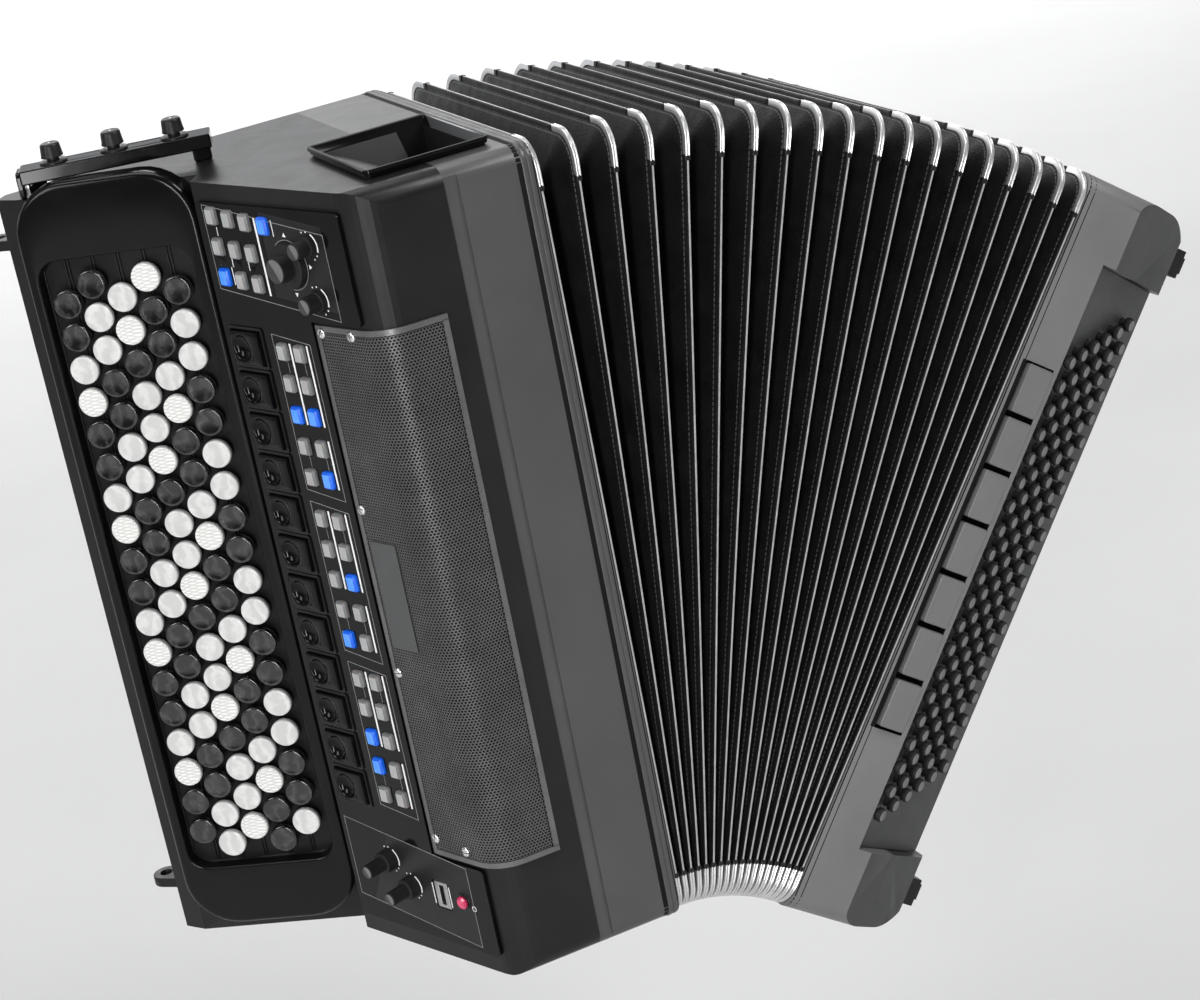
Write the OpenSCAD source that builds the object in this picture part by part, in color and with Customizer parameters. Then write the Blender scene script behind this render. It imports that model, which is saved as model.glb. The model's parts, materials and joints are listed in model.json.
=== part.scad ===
// Digital chromatic button accordion, 92 treble buttons, 120 bass studs.
// Instrument frame used inside the modules: x = 0 is the treble casing's bellows face and
// +X runs towards the bass end, y = 0 is the front and +Y runs towards the player,
// z = 0 is the casing's lower end and +Z runs up the keyboard.
// Everything is then moved so that the origin lies in the middle of the treble back face.

/* [Treble casing] */
// Height of both casings along the keyboard
casing_h = 452; // [440:1:470]
// Depth of both casings, front to player
casing_d = 223; // [215:1:235]
// Distance from the bellows face to the front ridge
ridge_x = 99; // [97:1:101]
// Width of the front section beside the bellows
strip_w = 50; // [48:1:52]
// Wall thickness of the casings
wall = 5; // [4:0.5:6]
// Radius of the front ridge
ridge_r = 22; // [18:1:26]
// Radius of the rounded front corners
corner_r = 10; // [6:1:12]

/* [Keyboard] */
// Spacing of the treble buttons along a row
key_pitch = 19; // [18.8:0.1:19.4]
// Spacing of the rows across the keyboard
row_pitch = 15.7; // [15.6:0.1:16]
// Diameter of a treble button
key_d = 16.3; // [15:0.1:16.6]
// Thickness of a treble button's head
key_t = 4.2; // [3:0.1:4.4]
// Travel of a treble button
key_travel = 3; // [1:0.1:3.2]
// Width of the keyboard block
bed_w = 103.6; // [102.6:0.1:103.8]

/* [Control panel] */
// Spacing of the register tabs
tab_pitch = 23.9; // [23.5:0.1:24]
// Spacing of the small panel buttons
pad_pitch = 17.9; // [17:0.1:18]
// Spacing of the three button fields
field_pitch = 95.6; // [94:0.1:96]

/* [Bellows] */
// Spacing of the folds when closed
fold_pitch = 3.7; // [3.6:0.05:4]
// Mean angle that each fold is open
fold_angle = 2.01; // [0.5:0.01:2.1]
// Thickness of a fold's rim
fold_t = 2.2; // [1.8:0.1:2.4]
// Depth of the bellows wall
fold_depth = 25; // [20:1:30]

/* [Bass casing] */
// Thickness of the bass casing away from the bellows
bass_w = 106; // [104:1:110]
// Angle at which the bass board falls back
board_angle = 29; // [27:1:31]
// Spacing of the bass studs along a column
stud_pitch = 14.8; // [14.6:0.1:14.9]
// Spacing of the stud columns
column_pitch = 11.2; // [11:0.1:11.2]
// Diameter of a bass stud's head
stud_d = 8.4; // [7:0.1:9]

/* [Hidden] */
FOLDS = 17;
$fn = 48;
clear = 0.3;                      // gap round a part that is let into another

// --- points and frames -------------------------------------------------------------
rest_x = -110;                    // the origin's place along the bellows axis
junction = [-144.6, 123.4];       // where the control panel meets the keyboard
bed_out = [-229.7, 183.1];        // the keyboard's outer edge
panel_turn = atan2(-junction.y, -ridge_x - junction.x);
bed_turn = atan2(junction.y - bed_out.y, junction.x - bed_out.x);
bed_t = 14;                       // thickness of the keyboard block
bed_z0 = 9;
bed_h = casing_h;                 // the block stands 9 mm above the casing's top
row_mid = 51;                     // the middle row's place across the block
key_mid_z = 232.4;                // height of the middle button of rows b and d
well_floor = key_t + key_travel + 1.4;  // depth of the keyboard's well

function unit(v) = v / norm(v);
function turned(v) = [-v.y, v.x];
// An outline moved inwards by d, for points listed anticlockwise
function inset(p, d) = let (n = len(p)) [for (i = [0:n - 1])
    let (n1 = turned(unit(p[i] - p[(i + n - 1) % n])), n2 = turned(unit(p[(i + 1) % n] - p[i])))
    p[i] + (n1 + n2) * d / (1 + n1 * n2)];

// The arc over the front ridge, from the front face to the control panel
ridge_a0 = -90;
ridge_a1 = panel_turn - 90;
ridge_c = [-ridge_x + ridge_r * tan(-panel_turn / 2), ridge_r];
function ridge(out = 0, steps = 8) = [for (i = [0:steps])
    let (a = ridge_a0 + (ridge_a1 - ridge_a0) * i / steps)
    ridge_c + (ridge_r + out) * [cos(a), sin(a)]];

// Outline of the treble casing seen from above, clockwise from the bellows face
wing_in = junction + bed_t * [cos(bed_turn + 90), sin(bed_turn + 90)];
wing_out = bed_out + bed_t * [cos(bed_turn + 90), sin(bed_turn + 90)];
treble_outline_cw = concat([[0, 0]], ridge(),
    [junction, wing_in, wing_out, [-229, 207], [-213, casing_d], [0, casing_d]]);
function backwards(p) = [for (i = [len(p) - 1:-1:0]) p[i]];
treble_outline = backwards(treble_outline_cw);

module place() {
    translate([-rest_x, -casing_d, -casing_h / 2]) children();
}
// Panel frame: x runs from the keyboard to the ridge, y into the casing
module on_panel() {
    place() translate([junction.x, junction.y, 0]) rotate([0, 0, panel_turn]) children();
}
// Keyboard frame: x runs from the outer edge to the panel, y into the casing
module on_bed() {
    place() translate([bed_out.x, bed_out.y, 0]) rotate([0, 0, bed_turn]) children();
}
// A shaft or hole along y, from depth a to depth b
module rod_y(d, a, b) {
    translate([0, a, 0]) rotate([-90, 0, 0]) cylinder(d = d, h = b - a);
}
// A rectangle with round corners
module round_rect(w, h, r) {
    translate([r, 0]) square([w - 2 * r, h]);
    translate([0, r]) square([w, h - 2 * r]);
    for (x = [r, w - r], y = [r, h - r]) translate([x, y]) circle(r = r);
}
// A slab in the x-z plane with round corners, y from a to b
module slab(w, h, r, a, b) {
    translate([0, b, 0]) rotate([90, 0, 0]) linear_extrude(b - a) round_rect(w, h, r);
}
// A block along x with rounded long edges, as seen along the bellows
module long_block(x0, x1, h = casing_h, r = corner_r) {
    translate([x0, 0, 0]) rotate([90, 0, 90]) linear_extrude(x1 - x0) round_rect(casing_d, h, r);
}

// --- treble casing -----------------------------------------------------------------
grille_z = [68, 379];
grille_u = 80;                    // the grille's edge on the control panel
grille_x = -63;                   // the grille's edge on the front face
grille_lap = 8;                   // the grille's overlap on the casing round its opening
funnel_x = [-84, -13];
funnel_y = [18, 106];

module treble_shell() {
    intersection() {
        difference() {
            linear_extrude(casing_h) polygon(treble_outline);
            translate([0, 0, wall]) linear_extrude(casing_h - 2 * wall)
                polygon(inset(treble_outline, wall));
            translate([-wall - 1, wall, wall])
                cube([wall + 2, casing_d - 2 * wall, casing_h - 2 * wall]);
            translate([funnel_x[0] + 5, funnel_y[0] + 5, casing_h - wall - 1])
                cube([funnel_x[1] - funnel_x[0] - 10, funnel_y[1] - funnel_y[0] - 10, wall + 2]);
        }
        long_block(-260, 0);
    }
}
module grille_window() {
    // opening in the casing behind the grille
    inner = wall + 2;
    opening_h = grille_z[1] - grille_z[0] - 2 * grille_lap;
    translate([0, 0, grille_z[0] + grille_lap]) linear_extrude(opening_h)
        polygon(concat([[grille_x - grille_lap, inner], [grille_x - grille_lap, -2]], ridge(2),
            [panel_point(grille_u + grille_lap, -2), panel_point(grille_u + grille_lap, inner)],
            backwards(ridge(-inner))));
}
// A point in the outline plane from panel coordinates
function panel_point(u, y) = junction
    + u * [cos(panel_turn), sin(panel_turn)] - y * [sin(panel_turn), -cos(panel_turn)];

back_cover_x = [-205, -60];
back_cover_z = [40, 412];
back_cover_t = 2;
back_cover_lap = 6;               // width of the ledge that the cover lies on
module treble_casing() color("#17181a") {
    difference() {
        place() difference() {
            treble_shell();
            translate([-strip_w, -1, -1]) cube([60, casing_d + 2, casing_h + 2]);
            grille_window();
            // service opening in the back
            back_cover_slab(-back_cover_lap, casing_d - wall - 1, wall + 2);
            back_cover_slab(0, casing_d - back_cover_t, back_cover_t + 1);
        }
        // openings behind the keyboard and behind the panel's buttons
        on_bed() translate([9, bed_t - 1, 48]) cube([bed_w - 20, wall + 4, 368]);
        on_panel() translate([8, -1, 86]) cube([grille_u - 16, wall + 2, 292]);
        on_panel() translate([8, -1, 388]) cube([58, wall + 2, 54]);
        panel_shafts(8.6, -1, wall + 1);
    }
}
module treble_strip() color("#4a4c4f") place() {
    difference() {
        treble_shell();
        translate([-260, -1, -1]) cube([260 - strip_w, casing_d + 2, casing_h + 2]);
        // shallow step along the seam on the front
        translate([-strip_w - 1, -1, -1]) cube([9, 2.2, casing_h + 2]);
    }
}
// A slab as big as the back cover, or bigger by grow on each side
module back_cover_slab(grow, y, t) {
    translate([back_cover_x[0] - grow, y, back_cover_z[0] - grow])
        cube([back_cover_x[1] - back_cover_x[0] + 2 * grow, t,
              back_cover_z[1] - back_cover_z[0] + 2 * grow]);
}
module treble_back_cover() color("#1d1e20") place() {
    vent_w = 30;
    vent_h = 3;
    vent_z0 = 80;
    vent_pitch = 30;
    difference() {
        back_cover_slab(-clear, casing_d - back_cover_t, back_cover_t);
        for (i = [0:9], x = [-170, -95])
            translate([x - vent_w / 2, casing_d - back_cover_t - 1, vent_z0 + vent_pitch * i])
                cube([vent_w, back_cover_t + 2, vent_h]);
    }
}

// --- grille, speakers and panel ------------------------------------------------------
grille_t = 1.5;
module speaker_grille() color("#3a3b3d") place() {
    translate([0, 0, grille_z[0]]) linear_extrude(grille_z[1] - grille_z[0]) polygon(concat(
        [[grille_x, 0], [grille_x, -grille_t]], ridge(grille_t),
        [panel_point(grille_u, -grille_t), panel_point(grille_u, 0)], backwards(ridge())));
}
module grille_screws() color("#d9dadb") on_panel() {
    screw_d = 6;
    screw_t = 1.4;
    screw_z = [78.5, 180, 275.5, 375];
    places = concat([for (z = screw_z) [grille_u + 4.5, z]],
        [[108, screw_z[0] - 3], [108, screw_z[3]]]);
    for (p = places) translate([p.x, 0, p.y]) rod_y(screw_d, -grille_t - screw_t, -grille_t);
}
// Two speakers look out over the ridge, on a baffle behind the grille
module speaker() {
    rim_d = 60;
    cone_d = 50;
    magnet_d = 36;
    difference() {
        union() {
            cylinder(d = rim_d, h = 3);
            cylinder(d1 = cone_d + 4, d2 = magnet_d - 2, h = 20);
            cylinder(d = magnet_d, h = 34);
        }
        translate([0, 0, -0.01]) cylinder(d1 = cone_d, d2 = 16, h = 14);
    }
}
module speakers() color("#28292b") place() {
    behind_ridge = 33;
    translate([-ridge_x, 0, 0]) rotate([0, 0, panel_turn / 2])
        for (z = [150, 297]) translate([0, behind_ridge, z]) rotate([-90, 0, 0]) speaker();
}
module display_window() color("#55585c") on_panel() {
    translate([grille_u + 6, 0, 196]) slab(20, 62, 1, -grille_t - 0.6, -grille_t);
}

fascia_t = 2.5;
pad_u = [50.5, 64.5];
pad_z0 = 362;
// Blue places in the three lower fields, as [field, column, place]
blue_pads = [[0, 0, 2], [0, 1, 2], [0, 1, 4], [1, 0, 4], [1, 1, 2], [2, 0, 2], [2, 0, 3]];
// Places in the upper field, as [across, up]
upper_grey = [[16, 435], [29.5, 434], [43, 433], [16, 418], [29.5, 417], [43, 416],
              [29.5, 400], [43, 399]];
upper_blue = [[16, 401], [58, 432]];
function is_blue(f, c, i) = len([for (b = blue_pads) if (b == [f, c, i]) b]) > 0;
function lower_pads(blue) = [for (f = [0:2], c = [0:1], i = [0:4]) if (is_blue(f, c, i) == blue)
    [pad_u[c], pad_z0 - field_pitch * f - pad_pitch * i]];
tab_u = 22;
tab_z0 = 362;
tab_size = [23, 19];
level_knobs = [[90.5, 423], [89.5, 393.3]];
encoder_at = [73, 411.7];
mix_knobs = [[40, 55.7], [55, 42]];
usb_at = [80, 42];
usb_size = [11, 17];
power_at = [98, 42.4];

module panel_shafts(d, a, b) {
    on_panel() for (p = concat(level_knobs, mix_knobs, [encoder_at, power_at]))
        translate([p.x, 0, p.y]) rod_y(d, a, b);
    on_panel() translate([usb_at.x - usb_size.x / 2, a, usb_at.y - usb_size.y / 2])
        cube([usb_size.x, b - a, usb_size.y]);
}
module pad_shapes(places, grow, a, b) {
    for (p = places) translate([p.x - 4 - grow, 0, p.y - 5 - grow])
        slab(8 + 2 * grow, 10 + 2 * grow, 1.5, a, b);
}
module control_fascia() color("#0c0d0e") {
    difference() {
        on_panel() union() {
            translate([3, 0, 12]) slab(grille_u - 4, 430, 3, -fascia_t, 0);
            translate([grille_u - 8, 0, grille_z[1] + 2]) slab(47, 61, 3, -fascia_t, 0);
            translate([grille_u - 8, 0, 12]) slab(47, 54, 3, -fascia_t, 0);
        }
        on_panel() {
            for (i = [0:11]) translate([tab_u - 12.5, -fascia_t - 1, tab_z0 - tab_pitch * i - 10.5])
                cube([25, fascia_t + 2, 21]);
            pad_shapes(concat(lower_pads(true), lower_pads(false), upper_grey, upper_blue),
                0.35, -fascia_t - 1, 1);
        }
        panel_shafts(8.6, -fascia_t - 1, 1);
    }
}
module register_tabs() color("#101113") on_panel() {
    for (i = [0:11]) translate([tab_u, 0, tab_z0 - tab_pitch * i]) {
        difference() {
            translate([-tab_size.x / 2, -5.5, -tab_size.y / 2]) cube([tab_size.x, 7.5, tab_size.y]);
            // the dished finger surface
            translate([1, -14, -tab_size.y / 2 - 1]) cylinder(r = 12, h = tab_size.y + 2);
        }
        translate([-2, 2, -3]) cube([4, 6, 6]);
    }
}
module panel_buttons_grey() color("#a9abad") on_panel() {
    pad_shapes(concat(lower_pads(false), upper_grey), 0, -5, 2.5);
}
module panel_buttons_blue() color("#1f6fe0") on_panel() {
    pad_shapes(concat(lower_pads(true), upper_blue), 0, -5, 2.5);
}
// A knob that turns about y: its lower stage, its upper stage, its shaft and a pointer line
module knob(at, lower_d, lower_t, upper_d, length) {
    shaft_d = 8;
    pointer = [1, 0.6, upper_d / 2 - 0.5];
    on_panel() translate([at.x, -fascia_t, at.y]) {
        rod_y(lower_d, -lower_t, -clear);
        rod_y(upper_d, -length, -lower_t);
        rod_y(shaft_d, -clear, fascia_t + wall + 6);
        translate([-pointer.x / 2, -length - pointer.y, 0]) cube(pointer);
    }
}
module level_knob(at) color("#111214") knob(at, 12, 2.5, 10, 10);
module mix_knob(at) color("#111214") knob(at, 13, 6.5, 8.6, 17.5);
module encoder_wheel() color("#111214") knob(encoder_at, 25.4, 3.5, 14.6, 10.5);
module level_knob_top() level_knob(level_knobs[0]);
module level_knob_bottom() level_knob(level_knobs[1]);
module mix_knob_left() mix_knob(mix_knobs[0]);
module mix_knob_right() mix_knob(mix_knobs[1]);
module power_button() color("#c81f45") on_panel() translate([power_at.x, 0, power_at.y]) {
    rod_y(8, -fascia_t - 3, wall + 3);
}
module usb_socket() color("#8d8f92") on_panel() {
    fit = 0.2;
    shell = [usb_size.x - 2 * fit, 16, usb_size.y - 2 * fit];
    slot = [3.4, 14, 12];
    translate([usb_at.x - shell.x / 2, -fascia_t, usb_at.y - shell.z / 2]) difference() {
        cube(shell);
        translate([(shell.x - slot.x) / 2, -1, (shell.z - slot.z) / 2]) cube(slot);
    }
}
module circuit_board() color("#1f4d33") place() {
    board = [120, 1.6, 320];
    at = [-200, casing_d - 22, 60];
    spacer = casing_d - back_cover_t - at.y - board.y;
    chip = [26, 4, 26];
    translate(at) cube(board);
    for (z = [72, 362], x = [-190, -100])
        translate([x, at.y + board.y, z]) rotate([-90, 0, 0]) cylinder(d = 6, h = spacer);
    for (i = [0:4]) translate([-180 + 14 * i, at.y - chip.y, 110 + 46 * i]) cube(chip);
}

// --- keyboard ------------------------------------------------------------------------
ROWS = [-2, -1, 0, 1, 2];
function row_count(k) = abs(k) == 1 ? 19 : 18;
function key_z(k, i) = key_mid_z - key_pitch * (i - (row_count(k) - 1) / 2);
well_u = [7, 95];
well_z = [47, 419];

module keys(k, d, a, b) {
    for (i = [0:row_count(k) - 1])
        translate([row_mid + row_pitch * k, 0, key_z(k, i)]) rod_y(d, a, b);
}
module keyboard_bed() color("#0b0c0d") {
    on_bed() difference() {
        translate([0, 0, bed_z0]) slab(bed_w, bed_h, 30, 0, bed_t);
        translate([well_u[0], 0, well_z[0]])
            slab(well_u[1] - well_u[0], well_z[1] - well_z[0], 12, -1, well_floor);
        for (k = ROWS) keys(k, 5.6, well_floor - 1, bed_t + 1);
    }
}
module button_row(k) color("#e9e7e1") on_bed() {
    keys(k, key_d, 0, key_t);
    keys(k, 5, key_t, bed_t + 2);
}
module button_row_a() button_row(-2);
module button_row_b() button_row(-1);
module button_row_c() button_row(0);
module button_row_d() button_row(1);
module button_row_e() button_row(2);

// --- top fittings ---------------------------------------------------------------------
chin_at = [-168, 171];
chin_turn = -19.5;
chin_pitch = 33;
chin_z = casing_h + 9.3;            // the bar's underside, just clear of the block
module on_chin() {
    place() translate([chin_at.x, chin_at.y, 0]) rotate([0, 0, chin_turn]) children();
}
module chin_bar() color("#131416") on_chin() difference() {
    union() {
        translate([-52, -9, chin_z]) cube([104, 18, 8]);
        // feet down to the casing's top behind the keyboard block
        for (x = [-50, 40]) translate([x, 6.5, casing_h]) cube([10, 2.5, chin_z - casing_h + 1]);
    }
    for (i = [-1:1]) translate([chin_pitch * i, 0, chin_z - 2]) cylinder(d = 7.4, h = 12);
}
module chin_switches() color("#0d0e0f") on_chin() {
    for (i = [-1:1]) translate([chin_pitch * i, 0, 0]) {
        translate([0, 0, chin_z + 11.2]) cylinder(d = 12, h = 7.5);
        translate([0, 0, chin_z + 3.7]) cylinder(d = 7, h = 7.5);
    }
}
module top_funnel() color("#1a1b1d") place() {
    w = funnel_x[1] - funnel_x[0];
    d = funnel_y[1] - funnel_y[0];
    depth = 26;
    rim_h = 5;
    neck = 5.4;                   // the neck's distance inside the rim's edge
    side = 8;                     // the side walls' width
    translate([funnel_x[0], funnel_y[0], casing_h]) difference() {
        union() {
            cube([w, d, rim_h]);
            translate([neck, neck, -depth]) cube([w - 2 * neck, d - 2 * neck, depth]);
        }
        // the ramp falls towards the bellows side
        translate([0, d - side, 0]) rotate([90, 0, 0]) linear_extrude(d - 2 * side)
            polygon([[neck - 0.4, rim_h + 1], [side, 2], [w - side - 4, 3 - depth],
                     [w - side, 3 - depth], [w - side, rim_h + 1]]);
    }
}
// Strap lugs on the back: on the outer corner's chamfer and on the section by the bellows
lug_z = [27, 425];
lug_places = [[-221, 215, 45], [-30, casing_d, 0]];
module lug() {
    foot = [16, 2.5, 24];
    eye_d = 16;
    bore_d = 7;
    reach = 12;                   // from the foot's back to the bore
    thick = 6;
    difference() {
        union() {
            translate([-foot.x / 2, 0, -foot.z / 2]) cube(foot);
            translate([-eye_d / 2, 0, -thick / 2]) cube([eye_d, reach, thick]);
            translate([0, reach, -thick / 2]) cylinder(d = eye_d, h = thick);
        }
        translate([0, reach, -thick / 2 - 1]) cylinder(d = bore_d, h = thick + 2);
    }
}
module strap_lugs() color("#9a9c9f") place() {
    for (p = lug_places, z = lug_z) translate([p.x, p.y, z]) rotate([0, 0, p.z]) lug();
}

// --- bellows ------------------------------------------------------------------------
// Fold i is fixed to crest i; hinge i lies at the lower edge between crests i - 1 and i.
function fold_open(i) = fold_angle * (1.2 - 0.4 * (i - 1) / FOLDS);
function fan_angle(i) = i == 0 ? 0 : fan_angle(i - 1) + fold_open(i);
// The place of hinge i after all the hinges before it have turned
function hinge_at(i) = i <= 1 ? [fold_pitch, 0]
    : hinge_at(i - 1) + fold_pitch * [cos(fan_angle(i - 1)), -sin(fan_angle(i - 1))];

// Children are drawn in the closed bellows and follow crest i to its place
module fanned(i) {
    place() translate([hinge_at(i).x, 0, hinge_at(i).y]) rotate([0, fan_angle(i), 0])
        translate([-fold_pitch * i, 0, 0]) children();
}
rim_r = 16;
cap_t = 1.8;
cap_leg = 24;
module cap_outline() {
    difference() {
        round_rect(casing_d, casing_h, rim_r);
        translate([cap_t, cap_t]) round_rect(casing_d - 2 * cap_t, casing_h - 2 * cap_t, rim_r - cap_t);
        translate([cap_leg, -1]) square([casing_d - 2 * cap_leg, casing_h + 2]);
        translate([-1, cap_leg]) square([casing_d + 2, casing_h - 2 * cap_leg]);
    }
}
module rim_outline() {
    difference() {
        round_rect(casing_d, casing_h, rim_r);
        cap_outline();
        translate([fold_depth, fold_depth])
            square([casing_d - 2 * fold_depth, casing_h - 2 * fold_depth]);
    }
}
module upright(x0, x1) {
    translate([x0, 0, 0]) rotate([90, 0, 90]) linear_extrude(x1 - x0) children();
}
module rim(i) {
    x = fold_pitch * (i + 0.5);
    color("#0e0f10") upright(x - fold_t / 2, x + fold_t / 2) rim_outline();
    color("#e4e5e6") upright(x - 1.4, x + 1.4) cap_outline();
}
module fold(i) fanned(i) rim(i);
module treble_bellows_frame() {
    place() rim(0);
    color("#26282a") place() upright(0, fold_pitch / 2 - fold_t / 2) rim_outline();
}
module bellows_fold_01() fold(1);
module bellows_fold_02() fold(2);
module bellows_fold_03() fold(3);
module bellows_fold_04() fold(4);
module bellows_fold_05() fold(5);
module bellows_fold_06() fold(6);
module bellows_fold_07() fold(7);
module bellows_fold_08() fold(8);
module bellows_fold_09() fold(9);
module bellows_fold_10() fold(10);
module bellows_fold_11() fold(11);
module bellows_fold_12() fold(12);
module bellows_fold_13() fold(13);
module bellows_fold_14() fold(14);
module bellows_fold_15() fold(15);
module bellows_fold_16() fold(16);
module bellows_fold_17() fold(17);
module bass_bellows_frame() fanned(FOLDS + 1) {
    rim(FOLDS + 1);
    color("#26282a") upright(fold_pitch * (FOLDS + 1.5) + fold_t / 2, bass_x0) rim_outline();
}

// --- bass casing ----------------------------------------------------------------------
bass_x0 = fold_pitch * (FOLDS + 2);
bass_ridge = 39;                  // width of the bass casing's front strip
bass_seam = 65;
outer_r = 30;                     // radius of the bass end's outer top and bottom corners
board_depth = 8;                  // the board lies this far below the casing's slope
board_t = 4;
board_z = [46, 408];
board_x = [-8, 67];
bass_slope = [cos(board_angle), sin(board_angle)];
bass_corner = [bass_ridge, 0] + bass_slope * 69;
bass_outline = [[0, 0], [bass_ridge, 0], bass_corner, [bass_w, bass_corner.y + 9],
    [bass_w, casing_d - 16], [bass_w - 12, casing_d], [0, casing_d]];
bass_hollow = [[-1, 14], [30, 14], [bass_w - wall, 55], [bass_w - wall, casing_d - 18],
    [bass_w - 15, casing_d - wall], [-1, casing_d - wall]];

// Children are drawn in the bass casing's own frame: x away from the bellows, z up
module on_bass() {
    fanned(FOLDS + 1) translate([bass_x0, 0, 0]) children();
}
// Slope frame: x runs down the slope from the ridge, y into the casing
module on_slope() {
    on_bass() translate([bass_ridge, 0, 0]) rotate([0, 0, board_angle]) children();
}
register_x = [6, 26];
register_z = [116, 342];
register_pitch = 32.3;
air_at = [110, 392];              // y and z of the air button on the outer face
air_d = 16;
// The bass end's outline as seen from the front, grown by out, with round outer corners
module bass_profile(out = 0) {
    inwards = 60;
    on_bass() translate([-inwards, 0, -out])
        slab(bass_w + inwards + out, casing_h + 2 * out, outer_r + out, -1, casing_d + 1);
}
module bass_body() {
    bass_wall = wall + 3;
    intersection() {
        difference() {
            on_bass() linear_extrude(casing_h) polygon(bass_outline);
            intersection() {
                on_bass() linear_extrude(casing_h) polygon(bass_hollow);
                bass_profile(-bass_wall);
            }
            // the recess for the button board and the opening under it
            on_slope() translate([board_x[0] - clear, -20, board_z[0]])
                cube([100, 20 + board_depth + board_t, board_z[1] - board_z[0]]);
            on_slope() translate([-6, 0, 62]) cube([66, 40, 330]);
            // the recess for the registers
            on_bass() translate([register_x[0], -1, register_z[0]])
                cube([register_x[1] - register_x[0], 10, register_z[1] - register_z[0]]);
            on_bass() translate([bass_w - 12, air_at.x, air_at.y])
                rotate([0, 90, 0]) cylinder(d = air_d + 0.8, h = 14);
        }
        on_bass() long_block(-1, bass_w + 1);
        bass_profile();
    }
}
module bass_casing() color("#3b3d40") difference() {
    bass_body();
    on_bass() translate([bass_seam, -60, -1]) cube([80, casing_d + 120, casing_h + 2]);
}
module bass_cover() color("#2c2e30") intersection() {
    bass_body();
    on_bass() translate([bass_seam, -60, -1]) cube([80, casing_d + 120, casing_h + 2]);
}
STUDS = 20;
stud_x0 = 52.8;
stud_z0 = 384.4;
stud_shift = 6.9;                 // each column starts lower than the one outside it
function stud_z(c, i) = stud_z0 - stud_shift * c - stud_pitch * i;
module studs(c, d, a, b) {
    for (i = [0:STUDS - 1])
        translate([stud_x0 - column_pitch * c, 0, stud_z(c, i)]) rod_y(d, a, b);
}
module bass_board() color("#1b1c1e") on_slope() {
    difference() {
        translate([board_x[0], board_depth, board_z[0] + clear])
            cube([board_x[1] - board_x[0], board_t, board_z[1] - board_z[0] - 2 * clear]);
        for (c = [0:5]) studs(c, 5.6, board_depth - 1, board_depth + board_t + 1);
    }
}
module bass_column(c) color("#2b2c2e") on_slope() {
    head = 1;                     // the heads' tops lie this far below the slope
    head_t = 3.9;
    studs(c, stud_d, head, head + head_t);
    studs(c, 5, head + head_t, board_depth + board_t + 4);
}
module bass_studs_1() bass_column(0);
module bass_studs_2() bass_column(1);
module bass_studs_3() bass_column(2);
module bass_studs_4() bass_column(3);
module bass_studs_5() bass_column(4);
module bass_studs_6() bass_column(5);
module bass_registers() color("#6b6d70") on_bass() {
    size = [17, 8, 29];
    for (i = [0:6]) translate([register_x[0] + 1.5, -3, register_z[0] + 2 + register_pitch * i])
        cube(size);
}
module air_button() color("#18191b") on_bass() {
    translate([bass_w - 9, air_at.x, air_at.y]) rotate([0, 90, 0]) cylinder(d = air_d, h = 14);
}
// Blocks for the hand strap on the rounded outer corners
strap_at = [60, 22];              // y, and the distance in from the casing's ends
module hand_strap_blocks() color("#1c1d1f") difference() {
    block = [10, 28, 17];
    stud = [5, 18, 10];
    on_bass() for (z = [strap_at.y, casing_h - strap_at.y]) translate([bass_w, strap_at.x, z]) {
        translate([-outer_r / 2, -block.y / 2, -block.z / 2])
            cube([outer_r / 2 + block.x, block.y, block.z]);
        translate([block.x, -stud.y / 2, -stud.z / 2]) cube(stud);
    }
    bass_profile(0.1);
}

treble_casing();
treble_strip();
treble_bellows_frame();
treble_back_cover();
speaker_grille();
grille_screws();
speakers();
display_window();
control_fascia();
register_tabs();
panel_buttons_grey();
panel_buttons_blue();
encoder_wheel();
level_knob_top();
level_knob_bottom();
mix_knob_left();
mix_knob_right();
power_button();
usb_socket();
keyboard_bed();
button_row_a();
button_row_b();
button_row_c();
button_row_d();
button_row_e();
chin_bar();
chin_switches();
top_funnel();
strap_lugs();
circuit_board();
bellows_fold_01();
bellows_fold_02();
bellows_fold_03();
bellows_fold_04();
bellows_fold_05();
bellows_fold_06();
bellows_fold_07();
bellows_fold_08();
bellows_fold_09();
bellows_fold_10();
bellows_fold_11();
bellows_fold_12();
bellows_fold_13();
bellows_fold_14();
bellows_fold_15();
bellows_fold_16();
bellows_fold_17();
bass_bellows_frame();
bass_casing();
bass_cover();
bass_board();
bass_studs_1();
bass_studs_2();
bass_studs_3();
bass_studs_4();
bass_studs_5();
bass_studs_6();
bass_registers();
air_button();
hand_strap_blocks();
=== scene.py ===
import json
import math
import random

import bmesh
import bpy
from mathutils import Matrix, Vector


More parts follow.
